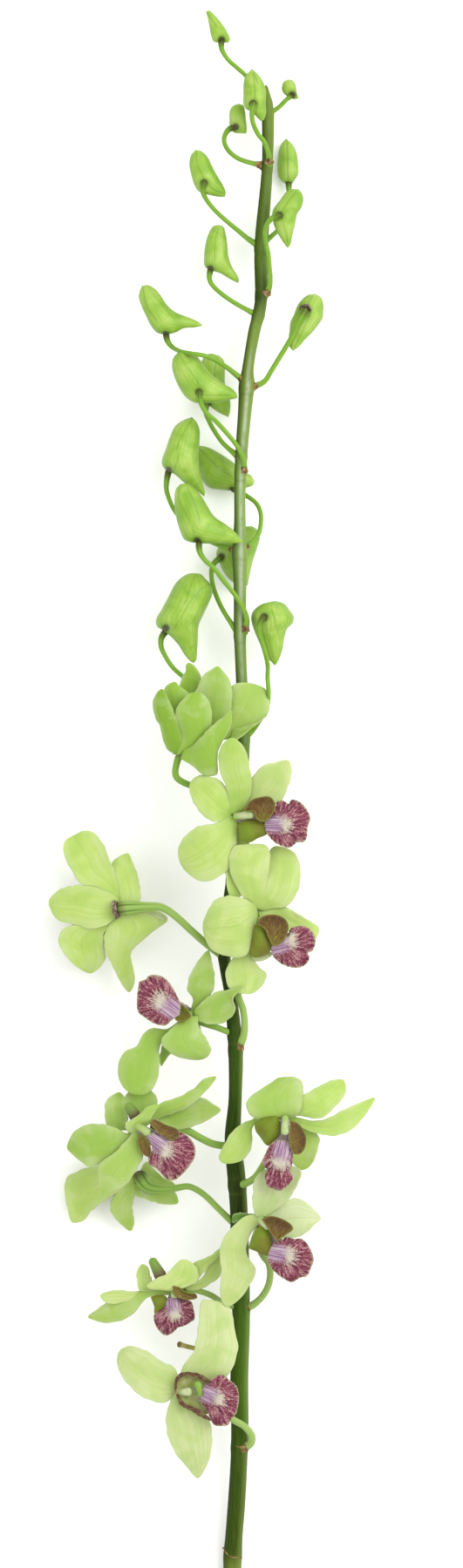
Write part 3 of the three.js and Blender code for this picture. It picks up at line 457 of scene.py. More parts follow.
HEADS["flower_04"] = {
    "hub": (222, 1166, 31), "tone": 0.31,
    "tepals": [
        {"name": "behind", "heights": (29, 28, 27.5), "tip": (185, 1224),
         "left": [(205, 1190), (200, 1205), (192, 1214)],
         "right": [(190, 1190), (185, 1203), (183, 1214)]},
        {"name": "lower_left", "heights": (32, 33.5, 33), "tip": (157, 1257), "cup": -0.15, "tone": 0.27,
         "left": [
             (214, 1176), (202, 1186), (190, 1191), (184, 1199), (183, 1220), (181, 1238), (172, 1253)],
         "right": [
             (205, 1172), (190, 1182), (176, 1180), (165, 1186), (156, 1201), (141, 1209), (135, 1228),
             (141, 1248)]},
        {"name": "top", "heights": (31, 33, 34), "tip": (239, 1091), "cup": -0.2,
         "left": [(222, 1158), (221, 1146), (215, 1137), (217, 1122), (226, 1105)],
         "right": [(234, 1158), (240, 1146), (245, 1135), (246, 1120), (243, 1104)]},
        {"name": "right", "heights": (33, 35, 39), "tip": (279, 1132), "cup": 0.2,
         "left": [(222, 1158), (236, 1146), (250, 1138), (263, 1136)],
         "right": [
             (224, 1172), (240, 1176), (257, 1174), (268, 1164), (270, 1157), (267, 1150), (268, 1145)]},
        {"name": "lower", "heights": (34, 38, 33), "tip": (231, 1216), "cup": -0.15,
         "left": [(220, 1167), (228, 1178), (237, 1193), (242, 1204), (240, 1211)],
         "right": [(210, 1168), (196, 1181), (185, 1193), (187, 1201), (201, 1212), (217, 1216)]},
    ],
    "column": [(222, 1165, 31), (215, 1165, 31.5), (208, 1165, 31.5)],
    "spur": [(222, 1172, 29), (226, 1180, 28.5), (228, 1188, 28)],
    "lobes": [
        {"face": "outside", "middle": (206, 1162), "heights": (36.5, 38.5), "outline": [
            (197, 1163), (202, 1152), (210, 1154), (216, 1160), (219, 1167), (212, 1172), (203, 1172)]},
    ],
    "front": {"middle": (184, 1149), "heights": (41.5, 39), "outline": [
        (206, 1165), (197, 1171), (190, 1177), (177, 1175), (166, 1168), (158, 1161), (157, 1147),
        (158, 1136), (160, 1127), (167, 1124), (171, 1120), (177, 1119), (186, 1121), (194, 1128),
        (203, 1143), (207, 1154)]},
    "stalk": [(222, 1170, 30), (234, 1175, 29.5), (250, 1180, 28.5), (270, 1188, 26.4)],
    "stalk_radii": (1.5, 1.1, 1.3),
}

HEADS["flower_05"] = {
    "hub": (162, 1291, 33), "tone": 0.34, "olive_spur": 2.5,
    "tepals": [
        {"name": "top_behind", "heights": (30, 29, 27), "tip": (160, 1248),
         "left": [(150, 1282), (143, 1268), (144, 1257)],
         "right": [(178, 1280), (181, 1268), (177, 1255)]},
        {"name": "top_left", "heights": (31, 30, 28), "tip": (137, 1254), "cup": 0.1,
         "left": [(128, 1297), (122, 1290), (120, 1275), (122, 1263), (129, 1257)],
         "right": [(144, 1296), (147, 1282), (144, 1271), (143, 1260)]},
        {"name": "right_broad", "heights": (31, 30.5, 31), "tip": (253, 1274), "cup": 0.1,
         "left": [(180, 1278), (200, 1272), (218, 1264), (232, 1260), (244, 1267)],
         "right": [(180, 1285), (188, 1292), (204, 1297), (222, 1293), (238, 1286)]},
        {"name": "right_narrow", "heights": (32, 34, 35), "tip": (248, 1236), "cup": -0.3,
         "left": [(178, 1275), (184, 1266), (197, 1262), (211, 1256), (224, 1248), (233, 1239)],
         "right": [(182, 1284), (200, 1278), (217, 1270), (231, 1258), (242, 1246)]},
        {"name": "left", "heights": (34, 35.5, 29), "tip": (77, 1318), "cup": -0.12, "tone": 0.29,
         "left": [(160, 1308), (146, 1322), (130, 1333), (112, 1337), (102, 1340), (95, 1335), (85, 1327)],
         "right": [(146, 1301), (134, 1295), (121, 1291), (108, 1290), (96, 1292), (85, 1299), (79, 1309)]},
        {"name": "lower", "heights": (36, 38.5, 33), "tip": (117, 1369), "cup": -0.12,
         "left": [(159, 1306), (165, 1322), (161, 1335), (154, 1346), (147, 1358), (129, 1367)],
         "right": [(150, 1303), (140, 1314), (129, 1325), (114, 1336), (113, 1350), (115, 1362)]},
        {"name": "hood", "heights": (35, 38, 37), "tip": (184, 1268), "cup": -0.3,
         "left": [(147, 1300), (144, 1289), (153, 1284), (161, 1278), (170, 1270)],
         "right": [(158, 1303), (162, 1297), (168, 1291), (172, 1286), (178, 1276)]},
    ],
    "column": [(158, 1293, 39.5), (165, 1297, 41.5), (172, 1302, 42)],
    "spur": [(158, 1286, 33.5), (151, 1275, 33.5), (145, 1266, 33.5)],
    "lobes": [
        {"face": "inside", "middle": (189, 1298), "heights": (42.5, 44), "outline": [
            (171, 1289), (176, 1285), (190, 1291), (204, 1297), (206, 1303), (199, 1309), (189, 1305),
            (179, 1298)]},
        {"face": "inside", "middle": (165, 1314), "heights": (40.5, 42), "outline": [
            (161, 1301), (158, 1307), (160, 1318), (167, 1327), (173, 1328), (173, 1318), (168, 1307)]},
    ],
    "front": {"middle": (194, 1322), "heights": (44, 41.5), "outline": [
        (168, 1304), (178, 1299), (187, 1303), (197, 1300), (207, 1299), (214, 1303), (220, 1309),
        (224, 1318), (223, 1329), (217, 1339), (208, 1349), (199, 1355), (190, 1353), (184, 1346),
        (177, 1340), (171, 1337), (170, 1330), (174, 1324), (174, 1316)]},
    "stalk": [
        (172, 1293, 31), (190, 1295, 29.5), (212, 1297, 28.5), (231, 1307, 27.5), (244, 1313, 26.5),
        (268, 1317, 24.8)],
    "stalk_radii": (1.6, 1.3, 1.4),
}

HEADS["flower_06"] = {
    "hub": (156, 1358, 13), "tone": 0.42, "ovary_share": 0.24,
    "tepals": [
        {"name": "upper", "heights": (12, 10, 8), "tip": (126, 1323),
         "left": [(146, 1362), (132, 1350), (122, 1335)],
         "right": [(160, 1350), (148, 1334), (134, 1324)]},
        {"name": "lower_right", "heights": (12, 11.5, 10), "tip": (204, 1381),
         "left": [(156, 1364), (175, 1360), (192, 1360), (202, 1370)],
         "right": [(154, 1372), (165, 1376), (180, 1381), (194, 1383)]},
        {"name": "upper_right", "heights": (12, 11.5, 10), "tip": (201, 1361),
         "left": [(160, 1345), (168, 1333), (178, 1343), (188, 1352), (197, 1356)],
         "right": [(162, 1358), (175, 1363), (190, 1364)]},
        {"name": "left", "heights": (12, 10, 4.5), "tip": (83, 1403), "cup": -0.1, "tone": 0.6,
         "left": [(150, 1364), (134, 1370), (119, 1379), (105, 1390), (96, 1401)],
         "right": [(146, 1345), (125, 1338), (102, 1340), (88, 1345), (77, 1351), (74, 1368), (77, 1386)]},
        {"name": "bottom", "heights": (12, 10, 5), "tip": (150, 1413), "cup": -0.2,
         "left": [(158, 1362), (154, 1374), (152, 1388), (154, 1401), (153, 1408)],
         "right": [(144, 1360), (131, 1372), (126, 1383), (128, 1393), (138, 1405)]},
    ],
    "column": [(156, 1360, 11), (152, 1362, 9), (148, 1363, 7)],
    "spur": [(160, 1365, 11.5), (168, 1370, 11), (174, 1375, 10.5)],
    "lobes": [
    ],
    "front": {"middle": (119, 1365), "heights": (3, 1.4), "outline": [
        (144, 1361), (138, 1354), (126, 1350), (112, 1352), (102, 1361), (98, 1374), (102, 1384),
        (112, 1380), (123, 1373), (134, 1367)]},
    "stalk": [
        (158, 1344, 15.5), (162, 1353, 16), (170, 1362, 16), (184, 1365, 16.2), (200, 1364, 16.5),
        (216, 1362, 17.5), (226, 1366, 18.6), (237, 1374, 19.8), (250, 1387, 21.3), (274, 1410, 22.6)],
    "stalk_radii": (2.7, 1.1, 1.3),
}

HEADS["flower_07"] = {
    "hub": (328, 1283, 40), "tone": 0.49,
    "tepals": [
        {"name": "lower_right", "heights": (37, 36, 33), "tip": (346, 1343), "cup": 0.1,
         "left": [(352, 1294), (363, 1301), (367, 1308), (364, 1321), (360, 1333), (353, 1341)],
         "right": [(338, 1296), (334, 1310), (333, 1325), (337, 1337)]},
        {"name": "right_long", "heights": (38, 38, 30), "tip": (430, 1260), "cup": 0.12,
         "left": [(337, 1283), (356, 1286), (372, 1285), (386, 1278), (400, 1271), (414, 1265)],
         "right": [
             (338, 1290), (351, 1297), (367, 1302), (382, 1304), (396, 1301), (409, 1292), (420, 1279)]},
        {"name": "right_upper", "heights": (39, 41, 35), "tip": (394, 1240), "cup": -0.1,
         "left": [(337, 1276), (347, 1258), (360, 1250), (373, 1243), (385, 1239)],
         "right": [(340, 1281), (360, 1284), (371, 1283), (380, 1275), (390, 1265), (397, 1253)]},
        {"name": "left_lower", "heights": (38, 37, 34.5), "tip": (256, 1335), "cup": -0.12,
         "left": [
             (300, 1284), (291, 1292), (289, 1300), (289, 1312), (287, 1321), (279, 1331), (270, 1335)],
         "right": [
             (298, 1281), (286, 1286), (276, 1291), (268, 1297), (259, 1310), (253, 1322), (251, 1330)]},
        {"name": "top", "heights": (40, 43, 38), "tip": (330, 1237), "cup": -0.1, "tone": 0.38,
         "left": [
             (308, 1284), (296, 1285), (287, 1280), (282, 1270), (286, 1260), (298, 1251), (309, 1244),
             (318, 1238)],
         "right": [(334, 1283), (343, 1278), (347, 1264), (348, 1252), (347, 1243), (340, 1237)]},
    ],
    "column": [(327, 1283, 43), (327, 1293, 46), (327, 1303, 47)],
    "spur": [(322, 1288, 38), (306, 1296, 38.5), (294, 1300, 38)],
    "lobes": [
        {"face": "outside", "middle": (307, 1296), "heights": (46, 42.5), "outline": [
            (292, 1289), (303, 1283), (317, 1282), (322, 1292), (320, 1304), (315, 1309), (307, 1315),
            (299, 1306), (293, 1297)]},
        {"face": "inside", "middle": (340, 1309), "heights": (45.5, 47.5), "outline": [
            (333, 1286), (341, 1289), (346, 1294), (351, 1305), (351, 1312), (348, 1321), (343, 1325),
            (336, 1324), (332, 1310)]},
    ],
    "front": {"middle": (320, 1338), "heights": (48, 45), "outline": [
        (327, 1309), (317, 1309), (310, 1314), (306, 1321), (301, 1334), (303, 1339), (307, 1343),
        (304, 1350), (306, 1361), (313, 1365), (321, 1367), (329, 1362), (336, 1352), (332, 1345),
        (335, 1337), (336, 1324), (333, 1312)]},
    "stalk": [
        (322, 1290, 37), (310, 1322, 35), (300, 1341, 33), (293, 1351, 31), (285, 1357, 28),
        (272, 1361, 24)],
    "stalk_radii": (1.5, 1.2, 1.6),
}

HEADS["flower_08"] = {
    "hub": (299, 1398, 37), "tone": 0.75,
    "tepals": [
        {"name": "hidden", "heights": (34, 34, 33.5), "tip": (306, 1440),
         "left": [(308, 1405), (312, 1420)],
         "right": [(298, 1405), (298, 1422)]},
        {"name": "right", "heights": (37, 37, 31), "tip": (368, 1399), "cup": 0.1, "tone": 1,
         "left": [(305, 1393), (320, 1383), (334, 1376), (346, 1377), (357, 1385)],
         "right": [(305, 1402), (320, 1420), (338, 1421), (352, 1415), (361, 1406)]},
        # The top tepal's tone is raised as painted light, to lift the shade that falls on it.
        {"name": "top", "heights": (38, 39, 36.5), "tip": (318, 1338), "cup": 0.2, "tone": 0.95,
         "left": [(294, 1397), (290, 1385), (290, 1368), (292, 1353), (298, 1346)],
         "right": [(308, 1395), (322, 1385), (333, 1375), (340, 1362), (346, 1345), (335, 1338)]},
        # This curled tepal's tone of 0 makes it dark green: partly its own colour, partly painted shade.
        {"name": "curled", "heights": (34, 36, 35), "tip": (266, 1399), "cup": 0.3, "tone": 0,
         "left": [(290, 1400), (274, 1402), (267, 1404)],
         "right": [(285, 1393), (275, 1392), (268, 1394)]},
        {"name": "left_lower", "heights": (38, 38, 33.5), "tip": (261, 1500), "cup": -0.1,
         "left": [
             (298, 1402), (290, 1413), (284, 1426), (283, 1440), (290, 1451), (294, 1459), (287, 1474),
             (277, 1489)],
         "right": [
             (290, 1392), (284, 1395), (273, 1402), (260, 1416), (253, 1428), (252, 1443), (254, 1463),
             (252, 1480), (255, 1495)]},
    ],
    "column": [(299, 1400, 40.5), (304, 1405, 43), (310, 1410, 44)],
    "spur": [(298, 1410, 37), (292, 1422, 38), (290, 1431, 38)],
    "lobes": [
        {"face": "outside", "middle": (299, 1427), "heights": (45.5, 42), "outline": [
            (285, 1433), (289, 1420), (299, 1407), (307, 1409), (312, 1424), (311, 1441), (301, 1440),
            (293, 1436)]},
        {"face": "inside", "middle": (318, 1409), "heights": (43.5, 46), "outline": [
            (300, 1399), (311, 1396), (325, 1400), (334, 1406), (336, 1411), (327, 1418), (318, 1424),
            (311, 1416)]},
    ],
    "front": {"middle": (329, 1440), "heights": (46.5, 44), "outline": [
        (308, 1437), (314, 1427), (322, 1424), (329, 1420), (337, 1422), (346, 1422), (354, 1430),
        (360, 1446), (357, 1455), (352, 1465), (344, 1467), (335, 1472), (327, 1469), (317, 1462),
        (311, 1455), (307, 1447)]},
    "stalk": [
        (298, 1404, 34), (297, 1430, 32), (302, 1442, 31), (308, 1450, 30), (310, 1461, 28.5),
        (308, 1475, 26.5), (301, 1488, 24), (290, 1498, 22), (277, 1503, 20.2)],
    "stalk_radii": (1.5, 1.2, 1.5),
}

HEADS["flower_09"] = {
    "hub": (205, 1474, 27), "tone": 0.65, "olive_spur": 2.5,
    "tepals": [
        {"name": "upper_left", "heights": (26, 26, 24), "tip": (163, 1451), "cup": 0.2,
         "left": [(176, 1481), (160, 1481), (157, 1470), (157, 1459)],
         "right": [(180, 1477), (173, 1466), (170, 1455)]},
        {"name": "right_lower", "heights": (27, 27, 28), "tip": (257, 1432), "cup": 0.1,
         "left": [(214, 1473), (228, 1470), (238, 1456), (248, 1442), (253, 1434)],
         "right": [(208, 1478), (216, 1481), (227, 1481), (241, 1474), (252, 1465), (255, 1450)]},
        {"name": "right_upper", "heights": (27, 28.5, 29), "tip": (256, 1430), "cup": -0.25,
         "left": [(218, 1470), (220, 1458), (222, 1450), (230, 1446), (240, 1442), (249, 1435)],
         "right": [(222, 1476), (231, 1464), (242, 1452), (252, 1441)]},
        {"name": "left_long", "heights": (26, 24, 14), "tip": (101, 1512), "cup": -0.1, "tone": 0.42,
         "left": [
             (198, 1486), (186, 1487), (172, 1489), (163, 1495), (157, 1504), (148, 1512), (138, 1516),
             (122, 1519), (109, 1516)],
         "right": [(192, 1479), (175, 1478), (160, 1482), (143, 1486), (128, 1492), (112, 1502)]},
        {"name": "left_upturned", "heights": (25.5, 24.5, 21), "tip": (115, 1487), "cup": -0.2,
         "left": [(158, 1490), (145, 1494), (130, 1497), (119, 1494)],
         "right": [(158, 1482), (146, 1482), (138, 1481), (126, 1482)]},
        {"name": "centre", "heights": (28, 31, 31), "tip": (213, 1446), "cup": -0.1,
         "left": [(178, 1480), (168, 1477), (178, 1468), (190, 1463), (198, 1455), (206, 1447)],
         "right": [(195, 1482), (205, 1476), (215, 1474), (225, 1472), (228, 1463), (223, 1452)]},
    ],
    "column": [(200, 1482, 28.3), (200, 1487, 28.6), (200, 1491, 28.8)],
    "spur": [(187, 1470, 28.5), (179, 1455, 29), (173, 1444, 29)],
    "lobes": [
        {"face": "outside", "middle": (182, 1494), "heights": (30, 28), "outline": [
            (173, 1489), (181, 1487), (190, 1488), (192, 1496), (188, 1503), (178, 1508), (177, 1500)]},
        {"face": "inside", "middle": (213, 1484), "heights": (30, 31.3), "outline": [
            (198, 1476), (205, 1478), (209, 1482), (216, 1485), (225, 1486), (226, 1490), (219, 1492),
            (208, 1491), (199, 1486)]},
    ],
    "front": {"middle": (200, 1508), "heights": (31.5, 27.5), "outline": [
        (197, 1487), (206, 1490), (219, 1494), (222, 1503), (223, 1514), (218, 1518), (211, 1522),
        (204, 1524), (199, 1529), (190, 1533), (182, 1527), (177, 1517), (177, 1508), (183, 1502),
        (189, 1493)]},
    "stalk": [
        (208, 1478, 26), (218, 1480, 25.5), (228, 1482, 25), (242, 1487, 23.5), (255, 1495, 22.2),
        (277, 1503, 20.1)],
    "stalk_radii": (1.4, 1.05, 1.3),
}

HEADS["flower_10"] = {
    "hub": (206, 1590, 31), "tone": 0.82,
    "tepals": [
        {"name": "hidden_right", "heights": (29, 29, 29), "tip": (243, 1618),
         "left": [(216, 1594), (232, 1602)],
         "right": [(206, 1600), (224, 1618)]},
        {"name": "hidden_left", "heights": (29, 28, 26.5), "tip": (165, 1565),
         "left": [(196, 1592), (180, 1584)],
         "right": [(202, 1582), (186, 1570)]},
        {"name": "left", "heights": (31, 31.5, 23), "tip": (137, 1551), "cup": -0.1,
         "left": [
             (198, 1604), (190, 1610), (177, 1609), (162, 1603), (148, 1591), (138, 1577), (134, 1563)],
         "right": [(204, 1580), (199, 1569), (185, 1563), (172, 1553), (158, 1547), (147, 1545)]},
        {"name": "bottom", "heights": (31, 31, 20), "tip": (227, 1697), "cup": -0.14,
         "left": [
             (214, 1607), (230, 1618), (239, 1628), (243, 1642), (243, 1657), (241, 1672), (236, 1685)],
         "right": [(196, 1606), (192, 1618), (190, 1632), (193, 1650), (201, 1668), (214, 1684)]},
        {"name": "top", "heights": (32, 34, 33), "tip": (248, 1494), "cup": -0.12,
         "left": [
             (208, 1580), (213, 1563), (222, 1552), (225, 1537), (228, 1520), (229, 1503), (232, 1493)],
         "right": [
             (244, 1585), (260, 1580), (270, 1562), (273, 1546), (270, 1530), (267, 1512), (262, 1499)]},
    ],
    "column": [(206, 1598, 34), (212, 1598, 36), (220, 1597, 37.5)],
    "spur": [(204, 1592, 30), (197, 1597, 29), (192, 1600, 28)],
    "tongue": [(226, 1586, 38), (228, 1593, 39), (230, 1603, 37)],
    "lobes": [
        {"face": "floor", "middle": (219, 1598), "heights": (33.5, 36), "outline": [
            (201, 1600), (203, 1587), (208, 1580), (222, 1580), (238, 1586), (244, 1600), (239, 1623),
            (224, 1618), (208, 1610)]},
    ],
    "rims": [
        {"start": (202, 1599, 35.5), "heights": (35.5, 37.5, 38.5), "tip": (243, 1588), "foot": 1.2,
         "left": [(200, 1588), (204, 1578), (213, 1575), (224, 1576), (235, 1580)],
         "right": [(203, 1588), (207, 1581), (214, 1579), (223, 1580), (234, 1585)]},
        {"start": (202, 1599, 35.5), "heights": (35.5, 37.5, 38.5), "tip": (243, 1631), "foot": 1.2,
         "left": [(204, 1605), (211, 1610), (221, 1615), (233, 1621)],
         "right": [(200, 1606), (207, 1613), (218, 1619), (231, 1627)]},
    ],
    "front": {"middle": (249, 1605), "heights": (39.5, 37), "outline": [
        (230, 1597), (236, 1588), (242, 1583), (249, 1579), (256, 1578), (262, 1583), (267, 1587),
        (271, 1591), (273, 1596), (274, 1605), (273, 1613), (271, 1622), (266, 1629), (261, 1636),
        (255, 1637), (246, 1636), (241, 1628), (237, 1619), (231, 1610)]},
    "stalk": [
        (214, 1597, 28), (245, 1615, 24.5), (268, 1630, 22.5), (281, 1638, 20.5), (289, 1649, 18),
        (287, 1657, 15.5), (276, 1662, 12.6)],
    "stalk_radii": (1.5, 1.2, 1.8),
}

# Sheath scars on the stem: row at the right, rise at the left, first and last angle from the top
SCARS = [(1788, 11, -178, 178), (1661, 5, -25, 110)]

# A stalk that lost its flower, from the stem to its broken end: column, row, height
BROKEN_STALK = [(275, 1556, 17.8), (250, 1550, 20.5), (223, 1547.5, 21), (203, 1542.5, 21.5)]

# Buds and flowers whose stalk's foot shows a dry bract
WITH_BRACT = ["bud_02", "bud_04", "bud_07", "bud_09", "bud_10", "bud_11", "bud_13", "bud_14", "bud_15",
              "flower_02", "flower_08", "flower_10"]


def place(points):
    """Metres in the frame for points given as column, row and height in mm.

    A higher point is moved towards the picture's middle along the line of sight, so that it shows at
    its column and row from the eye.
    """
    points = np.asarray(points, float)
    shrink = MM_PER_PIXEL * (1 - points[..., 2:3] / EYE_HEIGHT)
    level = (points[..., :2] - PICTURE_MIDDLE) * [1, -1] * shrink - BOX_MIDDLE
    return np.concatenate([level, points[..., 2:3]], axis=-1) * MM


def unit(vectors):
    """The same directions with length 1, and a zero vector left as it is."""
    lengths = np.linalg.norm(vectors, axis=-1, keepdims=True)
    return vectors / np.maximum(lengths, 1e-12)


def spread(line, shares):
    """Points at the given shares (0 to 1) of the length of a line of many short straight stretches."""
    hops = np.linalg.norm(np.diff(line[:, :3], axis=0), axis=1)
    walked = np.concatenate([[0.0], np.cumsum(hops)])
    wanted = np.asarray(shares) * walked[-1]
    return np.stack([np.interp(wanted, walked, column) for column in line.T], axis=-1)


def smooth_line(points, shares):
    """Points at the given shares (0 to 1) of the length of a smooth line through the given points.

    Each stretch is a cubic from one point to the next. Its end directions are the neighbouring
    stretches' directions, the shorter one counting more. The knots are the distances' square roots
    added up, which keeps tight bends free of loops.
    """
    points = np.asarray(points, float)
    steps = np.linalg.norm(np.diff(points[:, :3], axis=0), axis=1) ** 0.5
    knots = np.concatenate([[0.0], np.cumsum(steps)])
    slopes = np.diff(points, axis=0) / steps[:, None]
    before, after = steps[:-1, None], steps[1:, None]
    inner = (slopes[:-1] * after + slopes[1:] * before) / (before + after)
    directions = np.concatenate([slopes[:1], inner, slopes[-1:]])
    spots = np.linspace(0, knots[-1], SMOOTH_STEPS)
    stretch = np.clip(np.searchsorted(knots, spots, "right") - 1, 0, len(steps) - 1)
    wide = steps[stretch][:, None]
    t = ((spots - knots[stretch]) / steps[stretch])[:, None]
    start, end = points[stretch], points[stretch + 1]
    leave, arrive = directions[stretch] * wide, directions[stretch + 1] * wide
    fine = (start * (2 * t**3 - 3 * t**2 + 1) + leave * (t**3 - 2 * t**2 + t)
            + end * (3 * t**2 - 2 * t**3) + arrive * (t**3 - t**2))
    return spread(fine, shares)


def even(count):
    """Shares from 0 to 1, evenly spaced."""
    return np.linspace(0, 1, count)


def path_through(points, count):
    """Points in the frame along a smooth line through the given ones, evenly spaced."""
    return place(smooth_line(points, even(count)))


def eased(count):
    """Shares from 0 to 1, closer together at both ends, for shapes with round ends."""
    return (1 - np.cos(np.pi * even(count))) / 2


def round_angles(count):
    """Angles evenly spaced once round, in radians."""
    return np.linspace(0, 2 * np.pi, count, endpoint=False)


def length_of(path):
    """The length of a path in mm."""
    return np.linalg.norm(np.diff(path, axis=0), axis=1).sum() / MM


def bell(values, middle, width):
    """A smooth bump that is 1 at the middle and fades to nothing over a few widths."""
    return np.exp(-(((values - middle) / width) ** 2))


def quads_to_triangles(corners):
    """Two triangles for each four-cornered cell, without those that have closed up at a point."""
    a, b, c, d = corners.reshape(-1, 4).T
    triangles = np.concatenate([np.stack([a, b, c], axis=-1), np.stack([a, c, d], axis=-1)])
    return triangles[(np.diff(np.sort(triangles, axis=1), axis=1) > 0).all(axis=1)]


def cells(index, wrap):
    """The four corners of each cell of a grid of vertex numbers. wrap joins the last column to the first."""
    if wrap:
        index = np.concatenate([index, index[:, :1]], axis=1)
    return np.stack([index[:-1, :-1], index[1:, :-1], index[1:, 1:], index[:-1, 1:]], axis=-1)


def outwards(vertices, triangles):
    """The triangles with their faces pointing out, judged by the sign of the volume they enclose."""
    a, b, c = (vertices[triangles[:, corner]] for corner in range(3))
    volume = np.einsum("ij,ij->", a - vertices.mean(0), np.cross(b - a, c - a))
    return triangles if volume > 0 else triangles[:, ::-1]


def close_tube(grid, grain, poles=None):
    """A closed mesh from rings: the rings' cells, and a fan from a pole at each end.

    The poles are the end rings' middles unless they are given.
    """
    if poles is None:
        poles = np.stack([grid[0].mean(0), grid[-1].mean(0)])
    rings, sides, _ = grid.shape
    index = np.arange(rings * sides).reshape(rings, sides)
    first, last = rings * sides, rings * sides + 1
    ends = [np.stack([np.full(sides, pole), ring, np.roll(ring, turn)], axis=-1)
            for pole, ring, turn in ((first, index[0], 1), (last, index[-1], -1))]
    vertices = np.concatenate([grid.reshape(-1, 3), poles])
    triangles = np.concatenate([quads_to_triangles(cells(index, True)), *ends])
    grains = np.concatenate([grain.reshape(-1, 4), grain[0].mean(0)[None], grain[-1].mean(0)[None]])
    return vertices, outwards(vertices, triangles), grains


def sheet_normals(grid, wrap):
    """The direction square to a sheet at each of its points, on its upper side, from the steps along it."""
    along = np.gradient(grid, axis=0)
    if wrap:
        across = (np.roll(grid, -1, axis=1) - np.roll(grid, 1, axis=1)) / 2
    else:
        across = np.gradient(grid, axis=1)
    normals = np.cross(across, along)
    inner = unit(normals) * (1 if normals[..., 2].sum() > 0 else -1)
    lengths = np.linalg.norm(normals, axis=-1)
    thin = lengths < 1e-4 * np.median(lengths)
    for end, beside in ((0, 1), (-1, -2)):
        inner[end] = np.where(thin[end][:, None], inner[beside], inner[end])
    return inner


def close_sheet(grid, thickness, rim_gap, grain, wrap=False):
    """A closed mesh from a sheet: an upper and a lower skin that meet along the sheet's rim.

    rim_gap is how far each point is from the rim, in mm. Each skin stands half the thickness off the
    sheet, along the direction square to it. Near the rim that falls to nothing as a quarter ellipse
    does, so the edge is thin and round. A corner triangle that both skins share is left out.
    """
    rows, columns, _ = grid.shape
    share = np.sqrt(1 - (1 - np.clip(rim_gap / EDGE_REACH, 0, 1)) ** 2)
    lift = sheet_normals(grid, wrap) * (thickness * MM / 2 * share)[..., None]
    upper = np.arange(rows * columns).reshape(rows, columns)
    lower = np.where(rim_gap < TINY, upper, upper + rows * columns)
    if wrap:
        upper[0], lower[0] = upper[0, 0], lower[0, 0]
    else:
        for end in (0, -1):
            if np.ptp(grid[end], axis=0).max() < TINY:
                upper[end] = lower[end] = upper[end, 0]
    vertices = np.concatenate([(grid + lift).reshape(-1, 3), (grid - lift).reshape(-1, 3)])
    under = grain.copy()
    under[..., 3] = 1
    grains = np.concatenate([grain.reshape(-1, 4), under.reshape(-1, 4)])
    triangles = np.concatenate([quads_to_triangles(cells(upper, wrap)),
                                quads_to_triangles(cells(lower, wrap))[:, ::-1]])
    _, group, uses = np.unique(np.sort(triangles, axis=1), axis=0, return_inverse=True, return_counts=True)
    triangles = triangles[uses[group.ravel()] == 1]
    used, renumbered = np.unique(triangles, return_inverse=True)
    triangles = renumbered.reshape(-1, 3)
    return vertices[used], outwards(vertices[used], triangles), grains[used]


def add_piece(name, mesh_parts, material, nodes=(), tone=0.0):
    """Puts a closed mesh into the scene as one piece that stands for nodes of the frame.

    The grain holds, for each vertex, where it lies on its own surface, and a last number that is the
    depth of a crease on a bud and tells the upper side (0) of a sheet from the lower one (1).
    """
    vertices, triangles, grains = mesh_parts
    mesh = bpy.data.meshes.new(name)
    mesh.from_pydata(vertices.tolist(), [], triangles.tolist())
    mesh.polygons.foreach_set("use_smooth", np.ones(len(mesh.polygons), bool))
    grain = mesh.attributes.new("grain", "FLOAT_VECTOR", "POINT")
    grain.data.foreach_set("vector", grains[:, :3].astype(np.float32).ravel())
    for label, values in (("crease", grains[:, 3]), ("tone", np.full(len(grains), tone))):
        layer = mesh.attributes.new(label, "FLOAT", "POINT")
        layer.data.foreach_set("value", values.astype(np.float32))
    mesh.materials.append(material)
    mesh.update()
    piece = bpy.data.objects.new(name, mesh)
    bpy.context.scene.collection.objects.link(piece)
    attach(piece, "root")
    for node in nodes:
        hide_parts(node)
    return piece


def grain_of(*numbers):
    """The grain at each point of a grid, from its four numbers."""
    return np.stack(np.broadcast_arrays(*numbers), axis=-1).astype(float)


def rings_round(path, angles):
    """The directions from each point of a path to the ring round it, at angles from the upper side."""
    along = unit(np.gradient(path, axis=0))
    beside = unit(np.cross(along, [0, 0, 1]))
    up = np.cross(beside, along)
    return np.cos(angles)[None, :, None] * up[:, None] + np.sin(angles)[None, :, None] * beside[:, None]


def tube(path, radii, sides, swell=1, crease=0):
    """A closed tube: S(u, a) = C(u) + r(u)·swell(u, a)·(cos a · up(u) + sin a · beside(u)).

    C is the path and a the angle round it. swell shapes the section, and crease is the grain's last number.
    """
    angles = round_angles(sides)
    reach = radii[:, None] * swell * np.ones(sides)
    grid = path[:, None] + reach[..., None] * MM * rings_round(path, angles)
    return close_tube(grid, grain_of(even(len(path))[:, None], np.cos(angles), np.sin(angles), crease))


def rounded_ends(path, radii, start=True, end=True):
    """The radii, drawn in within r of an end as in a half ball, by √(1 − (1 − d/r)²)."""
    shares, length, result = even(len(path)), length_of(path), radii
    for wanted, away, reach in ((start, shares, radii[0]), (end, 1 - shares, radii[-1])):
        if wanted:
            near = np.clip(away * length / reach, 0, 1)
            result = result * np.sqrt(np.maximum(1 - (1 - near) ** 2, 1e-3))
    return result


# Materials

def colour(code, held_back=STAGE_LIGHT):
    """The linear values that shaders take for a colour as it looks on the stage, in six hexadecimal digits.

    The stage's light makes a level surface brighter than its own colour, so the colour is held back
    by as much.
    """
    values = np.array([int(code[i:i + 2], 16) for i in (0, 2, 4)]) / 255
    linear = np.where(values <= 0.04045, values / 12.92, ((values + 0.055) / 1.055) ** 2.4)
    return (*(linear / held_back), 1.0)


